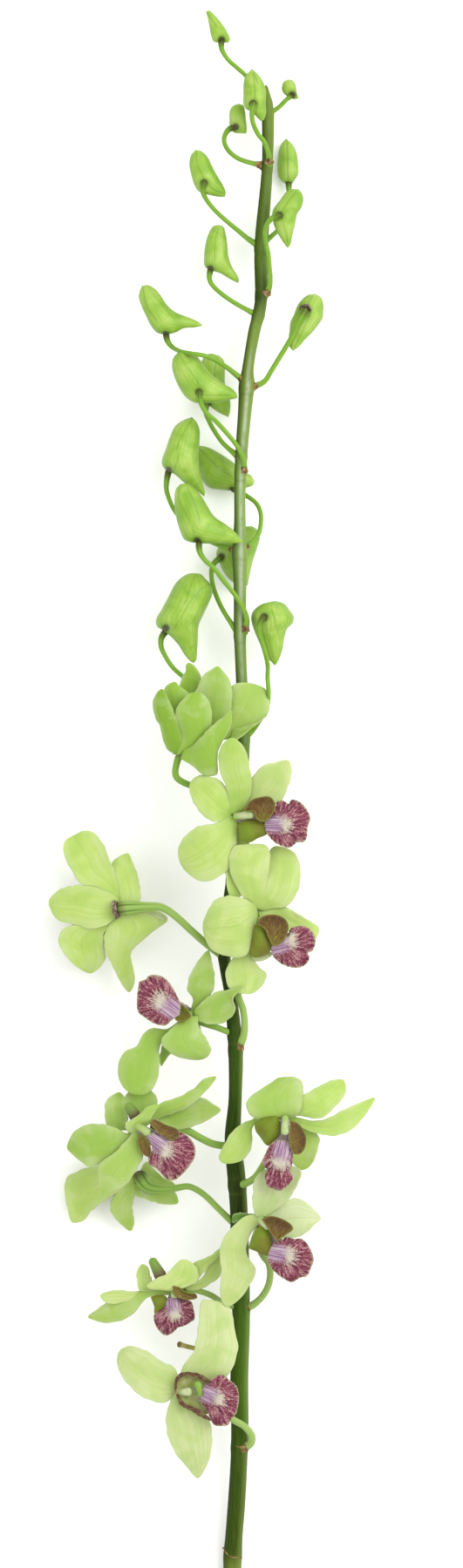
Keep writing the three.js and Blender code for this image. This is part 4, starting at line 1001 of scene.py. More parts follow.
class Finish:
    """A material's node tree, put together step by step around one Principled shader."""

    def __init__(self, name, roughness, subsurface=0.0, sheen=0.0, coat=0.0, gloss=0.3):
        self.material = bpy.data.materials.new(name)
        self.material.use_nodes = True
        self.nodes = self.material.node_tree.nodes
        self.links = self.material.node_tree.links
        self.shader = self.nodes["Principled BSDF"]
        for name, value in (("Roughness", roughness), ("Specular IOR Level", gloss),
                            ("Subsurface Weight", subsurface), ("Subsurface Radius", SCATTER_RADII),
                            ("Subsurface Scale", SCATTER_SCALE), ("Sheen Weight", sheen),
                            ("Coat Weight", coat), ("Coat Roughness", COAT_ROUGHNESS)):
            self.shader.inputs[name].default_value = value
        self.first, self.second, self.third = self.parts(self.layer("grain", "Vector"))
        self.crease = self.layer("crease", "Fac")
        self.tone = self.layer("tone", "Fac")

    def layer(self, name, output):
        """An attribute of the mesh."""
        node = self.nodes.new("ShaderNodeAttribute")
        node.attribute_name = name
        return node.outputs[output]

    def parts(self, vector):
        """The three numbers of a vector."""
        node = self.nodes.new("ShaderNodeSeparateXYZ")
        self.links.new(vector, node.inputs[0])
        return node.outputs

    def put(self, value, socket):
        """Links an output to a socket, or sets the socket to a number, a tuple or a colour's digits."""
        if isinstance(value, bpy.types.NodeSocket):
            self.links.new(value, socket)
        else:
            socket.default_value = colour(value) if isinstance(value, str) else value

    def maths(self, operation, a, b=0.0):
        node = self.nodes.new("ShaderNodeMath")
        node.operation = operation
        self.put(a, node.inputs[0])
        self.put(b, node.inputs[1])
        return node.outputs[0]

    def vector(self, x, y, z):
        node = self.nodes.new("ShaderNodeCombineXYZ")
        for socket, value in zip(node.inputs, (x, y, z)):
            self.put(value, socket)
        return node.outputs[0]

    def times(self, a, b):
        return self.maths("MULTIPLY", a, b)

    def unevenness(self, value, amount):
        """How far a noise is from its middle, times an amount: added to a distance, it makes that ragged."""
        return self.times(self.maths("SUBTRACT", value, 0.5), amount)

    def stretched_grain(self, first, second, third):
        """The grain's three numbers, each times a number of its own."""
        return self.vector(self.times(self.first, first), self.times(self.second, second),
                           self.times(self.third, third))

    def object_place(self):
        return self.nodes.new("ShaderNodeTexCoord").outputs["Object"]

    def noise(self, vector, scale, detail, distortion=0.0):
        node = self.nodes.new("ShaderNodeTexNoise")
        self.put(vector, node.inputs["Vector"])
        node.inputs["Scale"].default_value = scale
        node.inputs["Detail"].default_value = detail
        node.inputs["Distortion"].default_value = distortion
        return node.outputs["Fac"]

    def lengthwise(self, along, across, seed):
        """Streaks along a tepal: noise that changes slowly along it and fast across it."""
        stretched = self.vector(self.times(self.first, along), self.times(self.second, across), seed)
        return self.noise(stretched, 1.0, 2.0, 0.3)

    def fan(self, ahead, fineness, outward, distortion):
        """Veins that spread from a spot so far ahead of the lip's waist: noise by the angle round it."""
        angle = self.maths("ARCTAN2", self.second, self.maths("SUBTRACT", self.first, ahead))
        turns = self.vector(self.times(angle, fineness), self.times(self.distance(ahead), outward), 0.0)
        return self.noise(turns, 1.0, 3.0, distortion)

    def distance(self, ahead):
        """How far a spot of a lobe is from the one that lies so far ahead of the lip's waist."""
        length = self.nodes.new("ShaderNodeVectorMath")
        length.operation = "LENGTH"
        self.put(self.vector(self.maths("SUBTRACT", self.first, ahead), self.second, 0.0), length.inputs[0])
        return length.outputs["Value"]

    def ramp(self, factor, stops):
        """Shades from dark to light or from colour to colour, each with the factor at which it holds."""
        node = self.nodes.new("ShaderNodeValToRGB")
        self.put(factor, node.inputs[0])
        marks = node.color_ramp.elements
        while len(marks) < len(stops):
            marks.new(0.5)
        for mark, (spot, shade) in zip(marks, stops):
            mark.position = spot
            mark.color = colour(shade) if isinstance(shade, str) else (shade, shade, shade, 1.0)
        return node.outputs[0]

    def mix(self, factor, a, b):
        """Colour a where the factor is 0, colour b where it is 1."""
        node = self.nodes.new("ShaderNodeMix")
        node.data_type = "RGBA"
        self.put(factor, node.inputs[0])
        for value, number in zip((a, b), MIX_COLOURS):
            self.put(value, node.inputs[number])
        return node.outputs[MIX_RESULT]

    def bump(self, height, strength, distance):
        """Fine relief that only changes how light falls on the skin."""
        node = self.nodes.new("ShaderNodeBump")
        node.inputs["Strength"].default_value = strength
        node.inputs["Distance"].default_value = distance
        self.put(height, node.inputs["Height"])
        self.links.new(node.outputs[0], self.shader.inputs["Normal"])

    def paint(self, shade):
        """Gives the shader its colour and hands back the finished material."""
        self.put(shade, self.shader.inputs["Base Color"])
        return self.material


def tepal_finish():
    """Green to pale yellow-green by the tone: greener at the foot and midrib, paler towards the rim, with a
    thin line of painted shade right at the rim.
    """
    f = Finish("tepal_skin", roughness=0.5, subsurface=0.15, sheen=0.04, gloss=0.25)
    skin = f.ramp(f.tone, [(0, "4E7A26"), (0.12, "99C42E"), (0.34, "AFCE62"),
                           (0.56, "D0EB7A"), (0.78, "DCEA98"), (1, "E8F0BC")])
    seed = f.times(f.tone, STREAK_SHIFT)
    side = f.maths("ABSOLUTE", f.second)
    clouds = f.noise(f.object_place(), 110, 4, 0.6)
    fresh = f.mix(0.5, skin, "9CCB40")
    greener = f.mix(f.ramp(clouds, [(0.34, 0.75), (0.55, 0)]), skin, fresh)
    paler = f.mix(f.ramp(clouds, [(0.52, 0), (0.7, 0.3)]), greener, "E6F0C2")
    soft = f.mix(f.ramp(f.lengthwise(0.8, 7, seed), [(0.38, 0.3), (0.56, 0)]), paler, fresh)
    veins = f.lengthwise(0.5, 34, seed)
    veined = f.mix(f.ramp(veins, [(0.36, 0.13), (0.48, 0)]), soft, "8DBA42")
    midrib = f.mix(f.ramp(side, [(0, 0.25), (0.05, 0)]), veined, "98C448")
    thin = f.mix(f.ramp(side, [(0.5, 0), (0.95, 0.3)]), midrib, "E0EBB8")
    foot = f.mix(f.ramp(f.first, [(0, 0.8), (0.2, 0.15), (0.85, 0), (1, 0.25)]), thin, fresh)
    # Painted shade: a thin darker olive line right at the rim, where the edge turns away from the light.
    edged = f.mix(f.ramp(side, [(0.97, 0), (0.998, 0.5)]), foot, "A9B070")
    beneath = f.mix(f.times(f.crease, 0.3), edged, "C8D896")
    f.bump(veins, 0.05, 0.0003)
    return f.paint(beneath)


def bud_finish():
    """Waxy yellow-green with faint streaks, painted shade along both sides, darker seams, browned ends and a
    dark pit at the heel.
    """
    f = Finish("bud_skin", roughness=0.42, subsurface=0.1, coat=0.05)
    round_it = f.stretched_grain(1.2, 6, 6)
    lines = f.noise(round_it, 1.4, 3, 0.2)
    clouds = f.noise(f.object_place(), 150, 4, 0.5)
    skin = f.ramp(clouds, [(0.34, "94C436"), (0.5, "ABD54A"), (0.66, "C0E068")])
    streaked = f.mix(f.ramp(lines, [(0.38, 0.45), (0.54, 0)]), skin, "86B832")
    # Painted shade: darker green towards both sides of the bud, as seen from above.
    shaded = f.mix(f.ramp(f.maths("ABSOLUTE", f.second), [(0.6, 0), (1, 0.4)]), streaked, "6E9C28")
    seamed = f.mix(f.ramp(f.crease, [(0.05, 0), (0.5, 0.4)]), shaded, "5F8A26")
    pitted = f.mix(f.ramp(f.crease, [(0.42, 0), (0.72, 0.9)]), seamed, "3C3014")
    ends = f.ramp(f.first, [(0, 1), (0.018, 0.7), (0.04, 0), (0.97, 0), (1, 0.4)])
    browned = f.mix(ends, pitted, "665C28")
    f.bump(lines, 0.06, 0.0004)
    return f.paint(browned)


def stalk_finish():
    """Light green, with fine ribs, purple-brown at the flower's end and tan at the foot."""
    f = Finish("stalk_skin", roughness=0.4, subsurface=0.06, coat=0.02, gloss=0.12)
    lines = f.noise(f.stretched_grain(3, 4, 4), 1.5, 3)
    skin = f.ramp(lines, [(0.32, "76A82C"), (0.5, "8ABB3A"), (0.7, "A4CF54")])
    paler = f.mix(f.tone, skin, "B4D078")
    ribbed = f.mix(f.times(f.crease, 0.85), paler, "3F6A16")
    ends = f.ramp(f.first, [(0, 0.95), (0.04, 0.7), (0.1, 0), (0.97, 0), (1, 0.3)])
    browned = f.mix(ends, ribbed, "4C3A22")
    f.bump(lines, 0.12, 0.0004)
    return f.paint(browned)


def collar_finish():
    """Purple-brown with cream specks."""
    f = Finish("collar_skin", roughness=0.8)
    specks = f.noise(f.object_place(), 1400, 3)
    f.bump(specks, 0.5, 0.0005)
    return f.paint(f.ramp(specks, [(0.36, "4E3634"), (0.5, "7E6058"), (0.66, "C4BC98")]))


def lip_finish():
    """Wine red with broken dark veins, cream margin and middle, and lavender streaks from the waist."""
    f = Finish("lip_front_skin", roughness=0.6, subsurface=0.08, sheen=0.05, gloss=0.15)
    veins = f.fan(0.28, 11, 4, 0.4)
    specks = f.noise(f.object_place(), 1800, 2)
    broken = f.maths("ADD", veins, f.unevenness(specks, 0.7))
    wine = f.ramp(broken, [(0.34, "6A2638"), (0.45, "8A4054"), (0.55, "A66070"), (0.69, "D2A6A2")])
    shadow = f.fan(0.28, 3.2, 1.5, 0.4)
    streaked = f.mix(f.ramp(shadow, [(0.38, 0.4), (0.54, 0)]), wine, "6A283E")
    blots = f.noise(f.object_place(), 420, 4)
    patchy = f.maths("ADD", f.distance(0.45), f.unevenness(blots, 0.3))
    teeth = f.maths("SUBTRACT", patchy, f.unevenness(broken, 0.3))
    cream = f.mix(f.ramp(teeth, [(0.08, 0.95), (0.22, 0)]), streaked, "E6DDC8")
    stripes = f.noise(f.vector(f.first, f.times(f.second, 34), 3), 1, 2)
    lavender = f.ramp(stripes, [(0.4, "A06A96"), (0.56, "DEC6D6")])
    behind = f.ramp(f.first, [(0.28, 1), (0.46, 0)])
    narrow = f.ramp(f.maths("ABSOLUTE", f.second), [(0.11, 1), (0.22, 0)])
    throat = f.mix(f.times(behind, narrow), cream, lavender)
    ragged = f.maths("ADD", f.third, f.unevenness(broken, 0.2))
    edged = f.mix(f.ramp(ragged, [(0.9, 0), (0.98, 0.8)]), throat, "C2B890")
    beneath = f.mix(f.times(f.crease, 0.6), edged, "B7A46C")
    f.bump(veins, 0.5, 0.001)
    return f.paint(beneath)


def side_lobe_finish(inside_up):
    """Olive outside, brown inside with yellow-green lines from the waist. inside_up: the inside faces up."""
    f = Finish("lip_side_inside" if inside_up else "lip_side_outside", roughness=0.55, subsurface=0.08,
               gloss=0.15)
    lines = f.fan(0, 36, 5, 0.5)
    brown = f.ramp(f.distance(0), [(0.1, "6E5426"), (0.5, "7C5236"), (0.95, "6E4A34")])
    stronger = f.ramp(f.distance(0), [(0.2, 1), (0.9, 0.35)])
    lit = f.times(f.ramp(lines, [(0.46, 0), (0.6, 0.95)]), stronger)
    striped = f.mix(lit, brown, "A0A23E")
    inside = f.mix(f.ramp(f.third, [(0.92, 0), (1, 0.6)]), striped, "8E8A40")
    blush = f.noise(f.object_place(), 160, 3)
    olive = f.ramp(blush, [(0.32, "86A22E"), (0.55, "7E9028"), (0.75, "80782E")])
    tanned = f.mix(f.ramp(f.first, [(0.15, 0.55), (0.6, 0)]), olive, "80682F")
    outside = f.mix(f.ramp(f.third, [(0.9, 0), (1, 0.5)]), tanned, "94883C")
    f.bump(lines, 0.15, 0.0006)
    first, second = (inside, outside) if inside_up else (outside, inside)
    return f.paint(f.mix(f.crease, first, second))


def lip_rim_finish():
    """Dark purple-brown, olive in places."""
    f = Finish("lip_rim_skin", roughness=0.6, gloss=0.15)
    folds = f.noise(f.object_place(), 900, 3)
    f.bump(folds, 0.3, 0.0005)
    return f.paint(f.ramp(folds, [(0.34, "5A3836"), (0.52, "74523E"), (0.72, "8A7E4A")]))


def lip_floor_finish():
    """The hollow between the side lobes: cream-green, browner towards its rim."""
    f = Finish("lip_floor_skin", roughness=0.5, subsurface=0.08, gloss=0.2)
    clouds = f.noise(f.object_place(), 500, 3)
    pale = f.ramp(clouds, [(0.35, "A9B85A"), (0.65, "CCCF92")])
    return f.paint(f.mix(f.ramp(f.third, [(0.7, 0), (1, 0.7)]), pale, "7E7038"))


def spur_finish():
    """Olive green, purple-brown where it leaves the flower."""
    f = Finish("spur_skin", roughness=0.5, subsurface=0.08)
    return f.paint(f.ramp(f.first, [(0, "56372C"), (0.3, "6C5A34"), (0.6, "7C9A3C"), (1, "86B040")]))


def throat_finish():
    """Cream-green with lavender stripes along it."""
    f = Finish("lip_throat_skin", roughness=0.5, subsurface=0.08)
    stripes = f.noise(f.vector(f.times(f.first, 0.8), f.times(f.second, 7), 0), 1, 2)
    f.bump(stripes, 0.3, 0.0005)
    return f.paint(f.ramp(stripes, [(0.36, "9A6A96"), (0.48, "D6B8CC"), (0.62, "C4CC88")]))


def column_finish():
    """Pale cream-green, greener at its foot."""
    f = Finish("column_skin", roughness=0.4, subsurface=0.12, coat=0.08)
    clouds = f.noise(f.object_place(), 500, 3)
    cream = f.ramp(clouds, [(0.35, "CADC96"), (0.65, "E0E8B8")])
    skin = f.mix(f.ramp(f.tone, [(0.35, 0.75), (0.6, 0)]), cream, "B4D070")
    foot = f.ramp(f.first, [(0, 0.8), (0.5, 0)])
    f.bump(clouds, 0.2, 0.0004)
    return f.paint(f.mix(foot, skin, "A9CC5C"))


def rachis_finish():
    """Dark and mid green by turns from the cut end on, the darkest turns partly painted shade where flowers
    lie over the stem, then grey-green with a waxy streak that is partly a painted highlight, olive at the
    tip.

    The first number of the grain runs along the stem. The second is 1 on its upper side, and the
    third goes from -1 on its right to 1 on its left.
    """
    f = Finish("stem_skin", roughness=0.35, gloss=0.03)
    upwards = f.maths("ADD", f.maths("DIVIDE", f.parts(f.object_place())[1], STEM_SPAN), 0.5)
    # The darkest turns of this ramp, where flowers lie over the stem, are partly painted shade: the stem's
    # own dark green darkened further.
    skin = f.ramp(upwards, [
        (0.028, "6E8030"), (0.036, "34490A"), (0.095, "38510E"),
        (0.125, "476B14"), (0.18, "4A701C"), (0.25, "1E2E08"),
        (0.33, "345410"), (0.41, "2A3C10"), (0.5, "456A1E"),
        (0.58, "7F9E50"), (0.69, "8CAE5A"), (0.77, "7C943A"),
        (0.8, "7E9C40"), (0.817, "24380A"), (0.84, "5E7E26"), (0.9, "5E7A28"), (0.96, "84A03C")])
    lines = f.noise(f.stretched_grain(40, 4, 4), 2, 4)
    patches = f.noise(f.vector(f.times(f.first, 90), f.second, f.third), 1.5, 4)
    fibres = f.mix(f.ramp(lines, [(0.35, 0), (0.7, 0.14)]), skin, "9CB45E")
    # Painted shade darkens the stem's left side, and painted light brightens its right side, as a lamp on
    # the right would.
    painted_left_shade = f.mix(f.ramp(f.third, [(0.2, 0), (0.85, 0.7)]), fibres, "3A4A18")
    painted_right_light = f.mix(f.ramp(f.times(f.third, -1), [(0.3, 0), (0.75, 0.3)]), painted_left_shade, "A0B860")
    # A waxy bloom along the stem, kept to the upper side a little right of the middle, that is partly a
    # painted highlight.
    streak = f.ramp(f.maths("ABSOLUTE", f.maths("ADD", f.third, 0.15)), [(0.12, 1), (0.42, 0)])
    waxy = f.ramp(upwards, [(0.5, 0), (0.58, 0.5), (0.65, 0.9), (0.76, 0.9), (0.79, 0.1)])
    broken = f.ramp(patches, [(0.35, 0.35), (0.55, 0.9)])
    bloom_and_highlight = f.times(f.times(streak, waxy), broken)
    wax_and_highlight = f.mix(f.times(bloom_and_highlight, f.ramp(f.second, [(0, 0), (0.2, 1)])), painted_right_light, "C8D4B4")
    rings = f.mix(f.times(f.crease, 0.35), wax_and_highlight, "5E6A30")
    f.bump(lines, 0.08, 0.0004)
    return f.paint(rings)


def bract_finish():
    """Dry tan and orange-brown paper."""
    f = Finish("bract_paper", roughness=0.75)
    clouds = f.noise(f.object_place(), 700, 4)
    f.bump(clouds, 0.5, 0.0005)
    return f.paint(f.ramp(clouds, [(0.35, "5A4422"), (0.5, "8E6A3C"), (0.68, "BCAA74")]))


def stub_finish():
    """A dried stalk: dull yellow-green, brown at its broken end."""
    f = Finish("dry_stub_skin", roughness=0.7)
    clouds = f.noise(f.object_place(), 450, 4)
    skin = f.ramp(clouds, [(0.35, "B4AC50"), (0.65, "D2C878")])
    end = f.ramp(f.first, [(0.92, 0), (0.96, 0.9)])
    f.bump(clouds, 0.4, 0.0005)
    return f.paint(f.mix(end, skin, "7A5C2E"))


def table_finish():
    """One even, nearly white colour."""
    return Finish("table_top", roughness=0.9).paint(colour("F8F8F6", 1))


# Pieces

def nearest(points, line):
    """How far each point is from the nearest point of a line, in the plane seen from above, in mm."""
    gaps = points[..., None, :2] - line[:, :2]
    return np.sqrt((gaps**2).sum(-1).min(-1)) / MM


def flat_line(points, shares):
    """A smooth line through columns and rows, with a height of nothing yet."""
    return smooth_line(np.pad(np.asarray(points, float), ((0, 0), (0, 1))), shares)


def heights_along(shares, foot, middle, tip):
    """Heights on the parabola that passes the foot's, the middle's and the tip's height."""
    return (foot * (1 - shares) * (1 - 2 * shares) + middle * 4 * shares * (1 - shares)
            + tip * shares * (2 * shares - 1))


def tepal_edges(hub, shape, shares):
    """The left and the right edge of a tepal from its foot on, as one smooth line that rounds its tip.

    Each edge starts beside the hub, and edge points that are too near to the hub are left out.
    """
    sides = [np.array(shape[side], float) for side in ("left", "right")]
    lines = []
    for points, other in (sides, sides[::-1]):
        aside = points[0] - other[0]
        start = np.array(hub[:2]) + shape.get("foot", FOOT_REACH) * aside / np.linalg.norm(aside)
        far = np.linalg.norm(points - hub[:2], axis=1) > FOOT_CLEARANCE
        lines.append(np.concatenate([[start], points[far]]))
    outline = flat_line([*lines[0], shape["tip"], *lines[1][::-1]], even(SMOOTH_STEPS))
    top = np.linalg.norm(outline[:, :2] - shape["tip"], axis=1).argmin()
    return spread(outline[:top + 1], shares), spread(outline[top:][::-1], shares)


def tepal(hub, shape, seed):
    """A petal or sepal between its two edges L(u) and R(u), which meet at the tip.

    S(u, v) lies across from L(u) to R(u) at the share (v + 1) / 2. Its height is a parabola along u,
    plus cup·v² and turn·v times half the width, plus waves that grow with |v|³ towards the edges,
    less a groove over the midrib.
    """
    rows, columns = TEPAL_STEPS
    shares = 1 - (1 - even(rows)) ** 1.5
    left, right = tepal_edges(hub, shape, shares)
    away = unit(right - left) * (EDGE_WOBBLE * np.sin(np.pi * shares))[:, None]
    left = left - away * (np.sin(29 * shares + seed) + np.sin(47 * shares + 2 * seed))[:, None]
    right = right + away * (np.sin(31 * shares + 3 * seed) + np.sin(53 * shares + seed))[:, None]
    across = np.sin(np.linspace(-1, 1, columns) * np.pi / 2)
    plan = left[:, None] + (right - left)[:, None] * ((across + 1) / 2)[None, :, None]
    half = np.linalg.norm(right - left, axis=1)[:, None] * MM_PER_PIXEL / 2
    u, v = shares[:, None], across[None, :]
    wave = WAVE_RISE * np.sin(2 * np.pi * (1.3 * u + seed * 0.37) + v * 1.2) * np.abs(v) ** 3
    ripple = RIPPLE_RISE * np.sin(2 * np.pi * (3.1 * u + seed * 0.71) - v) * np.abs(v) ** 4
    groove = GROOVE_DEPTH * bell(v, 0, 0.09) * np.sin(np.pi * np.clip(u, 0, 0.92))
    ribs = RIB_RISE * np.cos(v * 17 + seed) * (1 - v**2)
    cup = shape.get("cup", TEPAL_CUP)
    turn = np.tan(np.radians(shape.get("turn", 0)))
    fade = np.sin(np.pi * np.clip(u * 0.9 + 0.1, 0, 1)) ** 0.5
    plan[..., 2] = (heights_along(u, *shape["heights"]) + half * (cup * (v**2 - 0.33) + turn * v)
                    + (wave + ripple - groove + ribs) * fade * np.minimum(half / 2, 1))
    middle = (left + right) / 2
    from_ends = [np.linalg.norm(middle - end, axis=1)[:, None] for end in (middle[0], middle[-1])]
    rim_gap = np.minimum((1 - np.abs(v)) * half, np.minimum(*from_ends) * MM_PER_PIXEL)
    return close_sheet(place(plan), TEPAL_THICKNESS, rim_gap, grain_of(u, v, 0, 0))


def lobe(shape, waist, ruffle, crown=0.0):
    """A lobe of the lip round its middle C: P(r, a) = C + r·(O(a) − C), with O its outline.

    Its height goes from the middle's to the rim's with r², plus a ruffle r³·sin(k·a) that makes the
    margin frilled, plus a crown of small ridges near the middle. The grain is how far a point lies
    ahead and aside of the lip's waist, where the veins start, as shares of the lobe's reach, and r.
    """
    rings, around = LOBE_STEPS
    rim = flat_line([*shape["outline"], shape["outline"][0]], even(around + 1))[:-1, :2]
    middle = np.array(shape["middle"], float)
    r = eased(rings)[:, None] ** 0.8
    angle = round_angles(around)[None, :]
    frill = 1 + ruffle * 0.02 * r**4 * np.sin(31 * angle + 2 * np.sin(3 * angle))
    plan = np.zeros((rings, around, 3))
    plan[..., :2] = middle + (rim - middle)[None] * (r * frill)[..., None]
    centre_height, rim_height = shape["heights"]
    folds = r**3 * (np.sin(9 * angle + 1.5 * np.sin(2 * angle)) + 0.5 * np.sin(23 * angle))
    furrows = 0.7 * r**3 * (1 - r) * np.sin(26 * angle)
    ridges = crown * bell(r, 0.22, 0.12) * (0.6 + 0.4 * np.cos(5 * angle))
    plan[..., 2] = (centre_height + (rim_height - centre_height) * r**2
                    + ruffle * (folds + furrows) + ridges)
    ahead = unit(middle - waist)
    away = (plan[..., :2] - waist) / np.linalg.norm(rim - waist, axis=1).max()
    grain = grain_of(away @ ahead, away @ [-ahead[1], ahead[0]], r, 0)
    rim_gap = (1 - r) * np.linalg.norm(rim - middle, axis=1) * MM_PER_PIXEL
    return close_sheet(place(plan), LIP_THICKNESS, rim_gap, grain, wrap=True)


def throat(flower):
    """The trough of the lip under the column: a cupped strip from the hub to the front lobe's middle."""
    start = np.array(flower["column"][0][:2], float)
    end = np.array(flower["front"]["middle"], float)
    ahead = (end - start) / np.linalg.norm(end - start)
    aside = np.array([ahead[1], -ahead[0]]) * THROAT_HALF_WIDTH
    at_foot, halfway, at_front = THROAT_DROPS
    low, high = flower["column"][0][2] - at_foot, flower["front"]["heights"][0]
    shape = {
        "left": [start + aside, (start + end) / 2 + aside],
        "right": [start - aside, (start + end) / 2 - aside],
        "tip": tuple(end), "heights": (low, (low + high) / 2 - halfway, high - at_front), "cup": THROAT_CUP,
    }
    return tepal((*start, low), shape, 0)


def bud_body(bud):
    """A closed bud between its two edges, which meet at the tip and at the end of the spur.

    Each ring lies upright across the line between the edges: P(u, a) = C(u) + w(u)·(cos a · across +
    depth·sin a · up), with C the middle, w half the gap. The seams and the heel's dent are sunk.
    """
    rows, sides = BUD_STEPS
    shares = eased(rows)[1:-1]
    tip, end = bud["tip"], bud["end"]
    left, right = (flat_line([tip, *bud[side], end], shares) for side in ("left", "right"))
    angles = round_angles(sides)
    middle, away = (left + right) / 2, (right - left) / 2
    half = np.linalg.norm(away, axis=1) * MM_PER_PIXEL
    plan = middle[:, None] + away[:, None] * np.cos(angles)[None, :, None]
    rise = np.sin(angles)[None, :] * (half * BUD_DEPTH)[:, None]
    upper = np.clip(np.sin(angles), 0, 1)[None, :]
    grid_place = place(plan + [0, 0, bud["height"]])
    groove = np.zeros(rise.shape)
    for seam in bud.get("seams", []):
        line = place(flat_line(seam, even(SEAM_STEPS)) + [0, 0, bud["height"]])
        groove = np.maximum(groove, bell(nearest(grid_place, line), 0, SEAM_WIDTH))
    heel = place([[*bud["heel"], bud["height"]]])
    dent = bell(nearest(grid_place, heel), 0, HEEL_REACH)
    plan[..., 2] = bud["height"] + rise - upper * (SEAM_DEPTH * groove + HEEL_DEPTH * dent)
    pads = RIB_RISE * np.cos(6 * angles)[None, :] * np.sin(np.pi * shares)[:, None]
    plan[..., 2] += pads * upper
    crease = np.maximum(0.5 * groove, dent) * (upper > 0)
    grain = grain_of(shares[:, None], np.cos(angles), np.sin(angles), crease)
    poles = place([[*tip, bud["height"]], [*end, bud["height"]]])
    return close_tube(place(plan), grain, poles)


def stalk(points, radii, ovary_share):
    """A stalk from its flower to the stem: r(u) falls from the ovary's radius and grows again at its foot.

    The ribs along the ovary, r·(1 + share·cos(number·a)), fade with u.
    """
    rows, sides = STALK_STEPS
    path = path_through(points, rows)
    u = even(rows)
    ovary, thin, foot = radii
    radius = thin + (ovary - thin) * bell(u, 0, ovary_share) + (foot - thin) * bell(u, 1, FOOT_SHARE)
    angles = round_angles(sides)
    ribs = np.cos(OVARY_RIBS * angles)[None, :] * bell(u, 0, ovary_share * 1.2)[:, None]
    radius = rounded_ends(path, radius, end=False)
    return tube(path, radius, sides, 1 + OVARY_RIB_SHARE * ribs, np.clip(-ribs, 0, 1))


def scale_round(points, marks, radii, sides):
    """A closed sleeve round a stalk, at the distances along it that marks gives, and without a grain.

    A mark is how far before the stalk's last point a spot is, in mm. Marks that differ round the
    stalk give the sleeve a slanting or ragged rim.
    """
    path = path_through(points, STALK_STEPS[0])
    hops = np.linalg.norm(np.diff(path, axis=0), axis=1)
    left_to_go = np.concatenate([np.cumsum(hops[::-1])[::-1], [0.0]]) / MM
    middle = np.stack([np.interp(marks, left_to_go[::-1], axis[::-1]) for axis in path.T], axis=-1)
    grid = middle + (radii * MM)[..., None] * rings_round(middle.mean(axis=1), round_angles(sides))
    return close_tube(grid, np.zeros((*marks.shape, 4)))


def bract(points, foot_radius):
    """A dry scale that clasps a stalk's foot, with its pointed side on top."""
    rows, sides = BRACT_STEPS
    angles = round_angles(sides)
    near, short, long = BRACT_SPAN
    pointed = ((1 + np.cos(angles)) / 2) ** 2
    far = short + (long - short) * pointed + 0.12 * np.sin(5 * angles) + 0.08 * np.sin(11 * angles)
    share = even(rows)[:, None]
    marks = far[None, :] * (1 - share) + near * share
    dented = 1 + 0.04 * np.sin(7 * angles)
    radii = (foot_radius + BRACT_GAP) * (1 + BRACT_FLARE * share**2) * dented[None, :]
    return scale_round(points, marks, radii, sides)


def collar(points, reach, ovary):
    """The ragged ring round a stalk's thick end, where the tepals meet."""
    rows, sides = BRACT_STEPS
    angles = round_angles(sides)
    path = path_through(points, STALK_STEPS[0])
    share = even(rows)[:, None]
    ragged = 1 + (0.1 * np.sin(5 * angles) + 0.08 * np.sin(13 * angles))[None, :] * (1 - share)
    marks = length_of(path) - COLLAR_LENGTH * share * ragged
    radii = (reach + (ovary + BRACT_GAP - reach) * share**0.6) * ragged
    return scale_round(points, marks, radii, sides)


def column(points):
    """The flower's column: a tube that widens to the anther, P(u, a) as in tube(), with a rounded end."""
    rows, sides = COLUMN_STEPS
    path = path_through(points, rows)
    radius = COLUMN_RADIUS * (COLUMN_FOOT_SHARE + COLUMN_WIDENING * even(rows))
    return tube(path, rounded_ends(path, radius, start=False), sides)


def spur(points, thickest):
    """The chin behind the lip, or a tongue: a tube with round ends whose radius falls along it."""
    rows, sides = COLUMN_STEPS
    path = path_through(points, rows)
    return tube(path, rounded_ends(path, thickest * (1 - SPUR_TAPER * even(rows))), sides)


def rachis():
    """The stem: a tube along the middle line, swollen where a stalk leaves it and ringed below.

    Its radius is the line's own, and the rings show in the crease number.
    """
    rows, sides = RACHIS_STEPS
    line = smooth_line(RACHIS, even(rows))
    path = place(line[:, :3])
    feet = place([item["stalk"][-1] for item in (*BUDS, *HEADS.values())])
    gap = nearest(path, feet)
    ring = bell(gap, NODE_RING_GAP, NODE_RING_WIDTH) * 0.9
    radius = line[:, 3] + NODE_SWELLING * bell(gap, 0, NODE_REACH) - NODE_RING_DEPTH * ring
    radius = rounded_ends(path, radius)
    swell = 1 + STEM_FLUTING * np.cos(9 * round_angles(sides) + 0.7)
    return tube(path, radius, sides, swell, ring[:, None])


def scar(row, rise, first_angle, last_angle):
    """The papery rim that a sheath leaves on the stem: a thin tube along a slanting ring.

    At the angle a from the top, it lies beside the stem's middle line by R·sin a and above it by
    R·cos a, with R the stem's radius, and its row is less by rise·max(0, −sin a)^1.5.
    """
    rows, sides = STALK_STEPS
    line = smooth_line(RACHIS, even(RACHIS_STEPS[0]))
    column, _, height, reach = line[np.abs(line[:, 1] - row).argmin()]
    angles = np.radians(first_angle + (last_angle - first_angle) * even(rows))
    path = np.stack([column + np.sin(angles) * reach / MM_PER_PIXEL,
                     row - rise * np.clip(-np.sin(angles), 0, 1) ** 1.5,
                     height + np.cos(angles) * reach], axis=-1)
    radius = SCAR_RADIUS * (1 + 0.2 * np.sin(7 * angles) + 0.12 * np.sin(19 * angles))
    return tube(place(path), radius, sides)


def broken_stalk():
    """A dried stalk that ends in a ragged break."""
    rows, sides = STALK_STEPS
    path = path_through(BROKEN_STALK, rows)
    u = even(rows)
    thin, foot, end = STUB_RADII
    radius = thin + foot * bell(u, 0, 0.1) + end * bell(u, 0.97, 0.05)
    shrivelled = 1 + 0.08 * np.cos(5 * round_angles(sides) + 2.0) * (0.4 + u[:, None])
    return tube(path, rounded_ends(path, radius, start=False), sides, shrivelled)


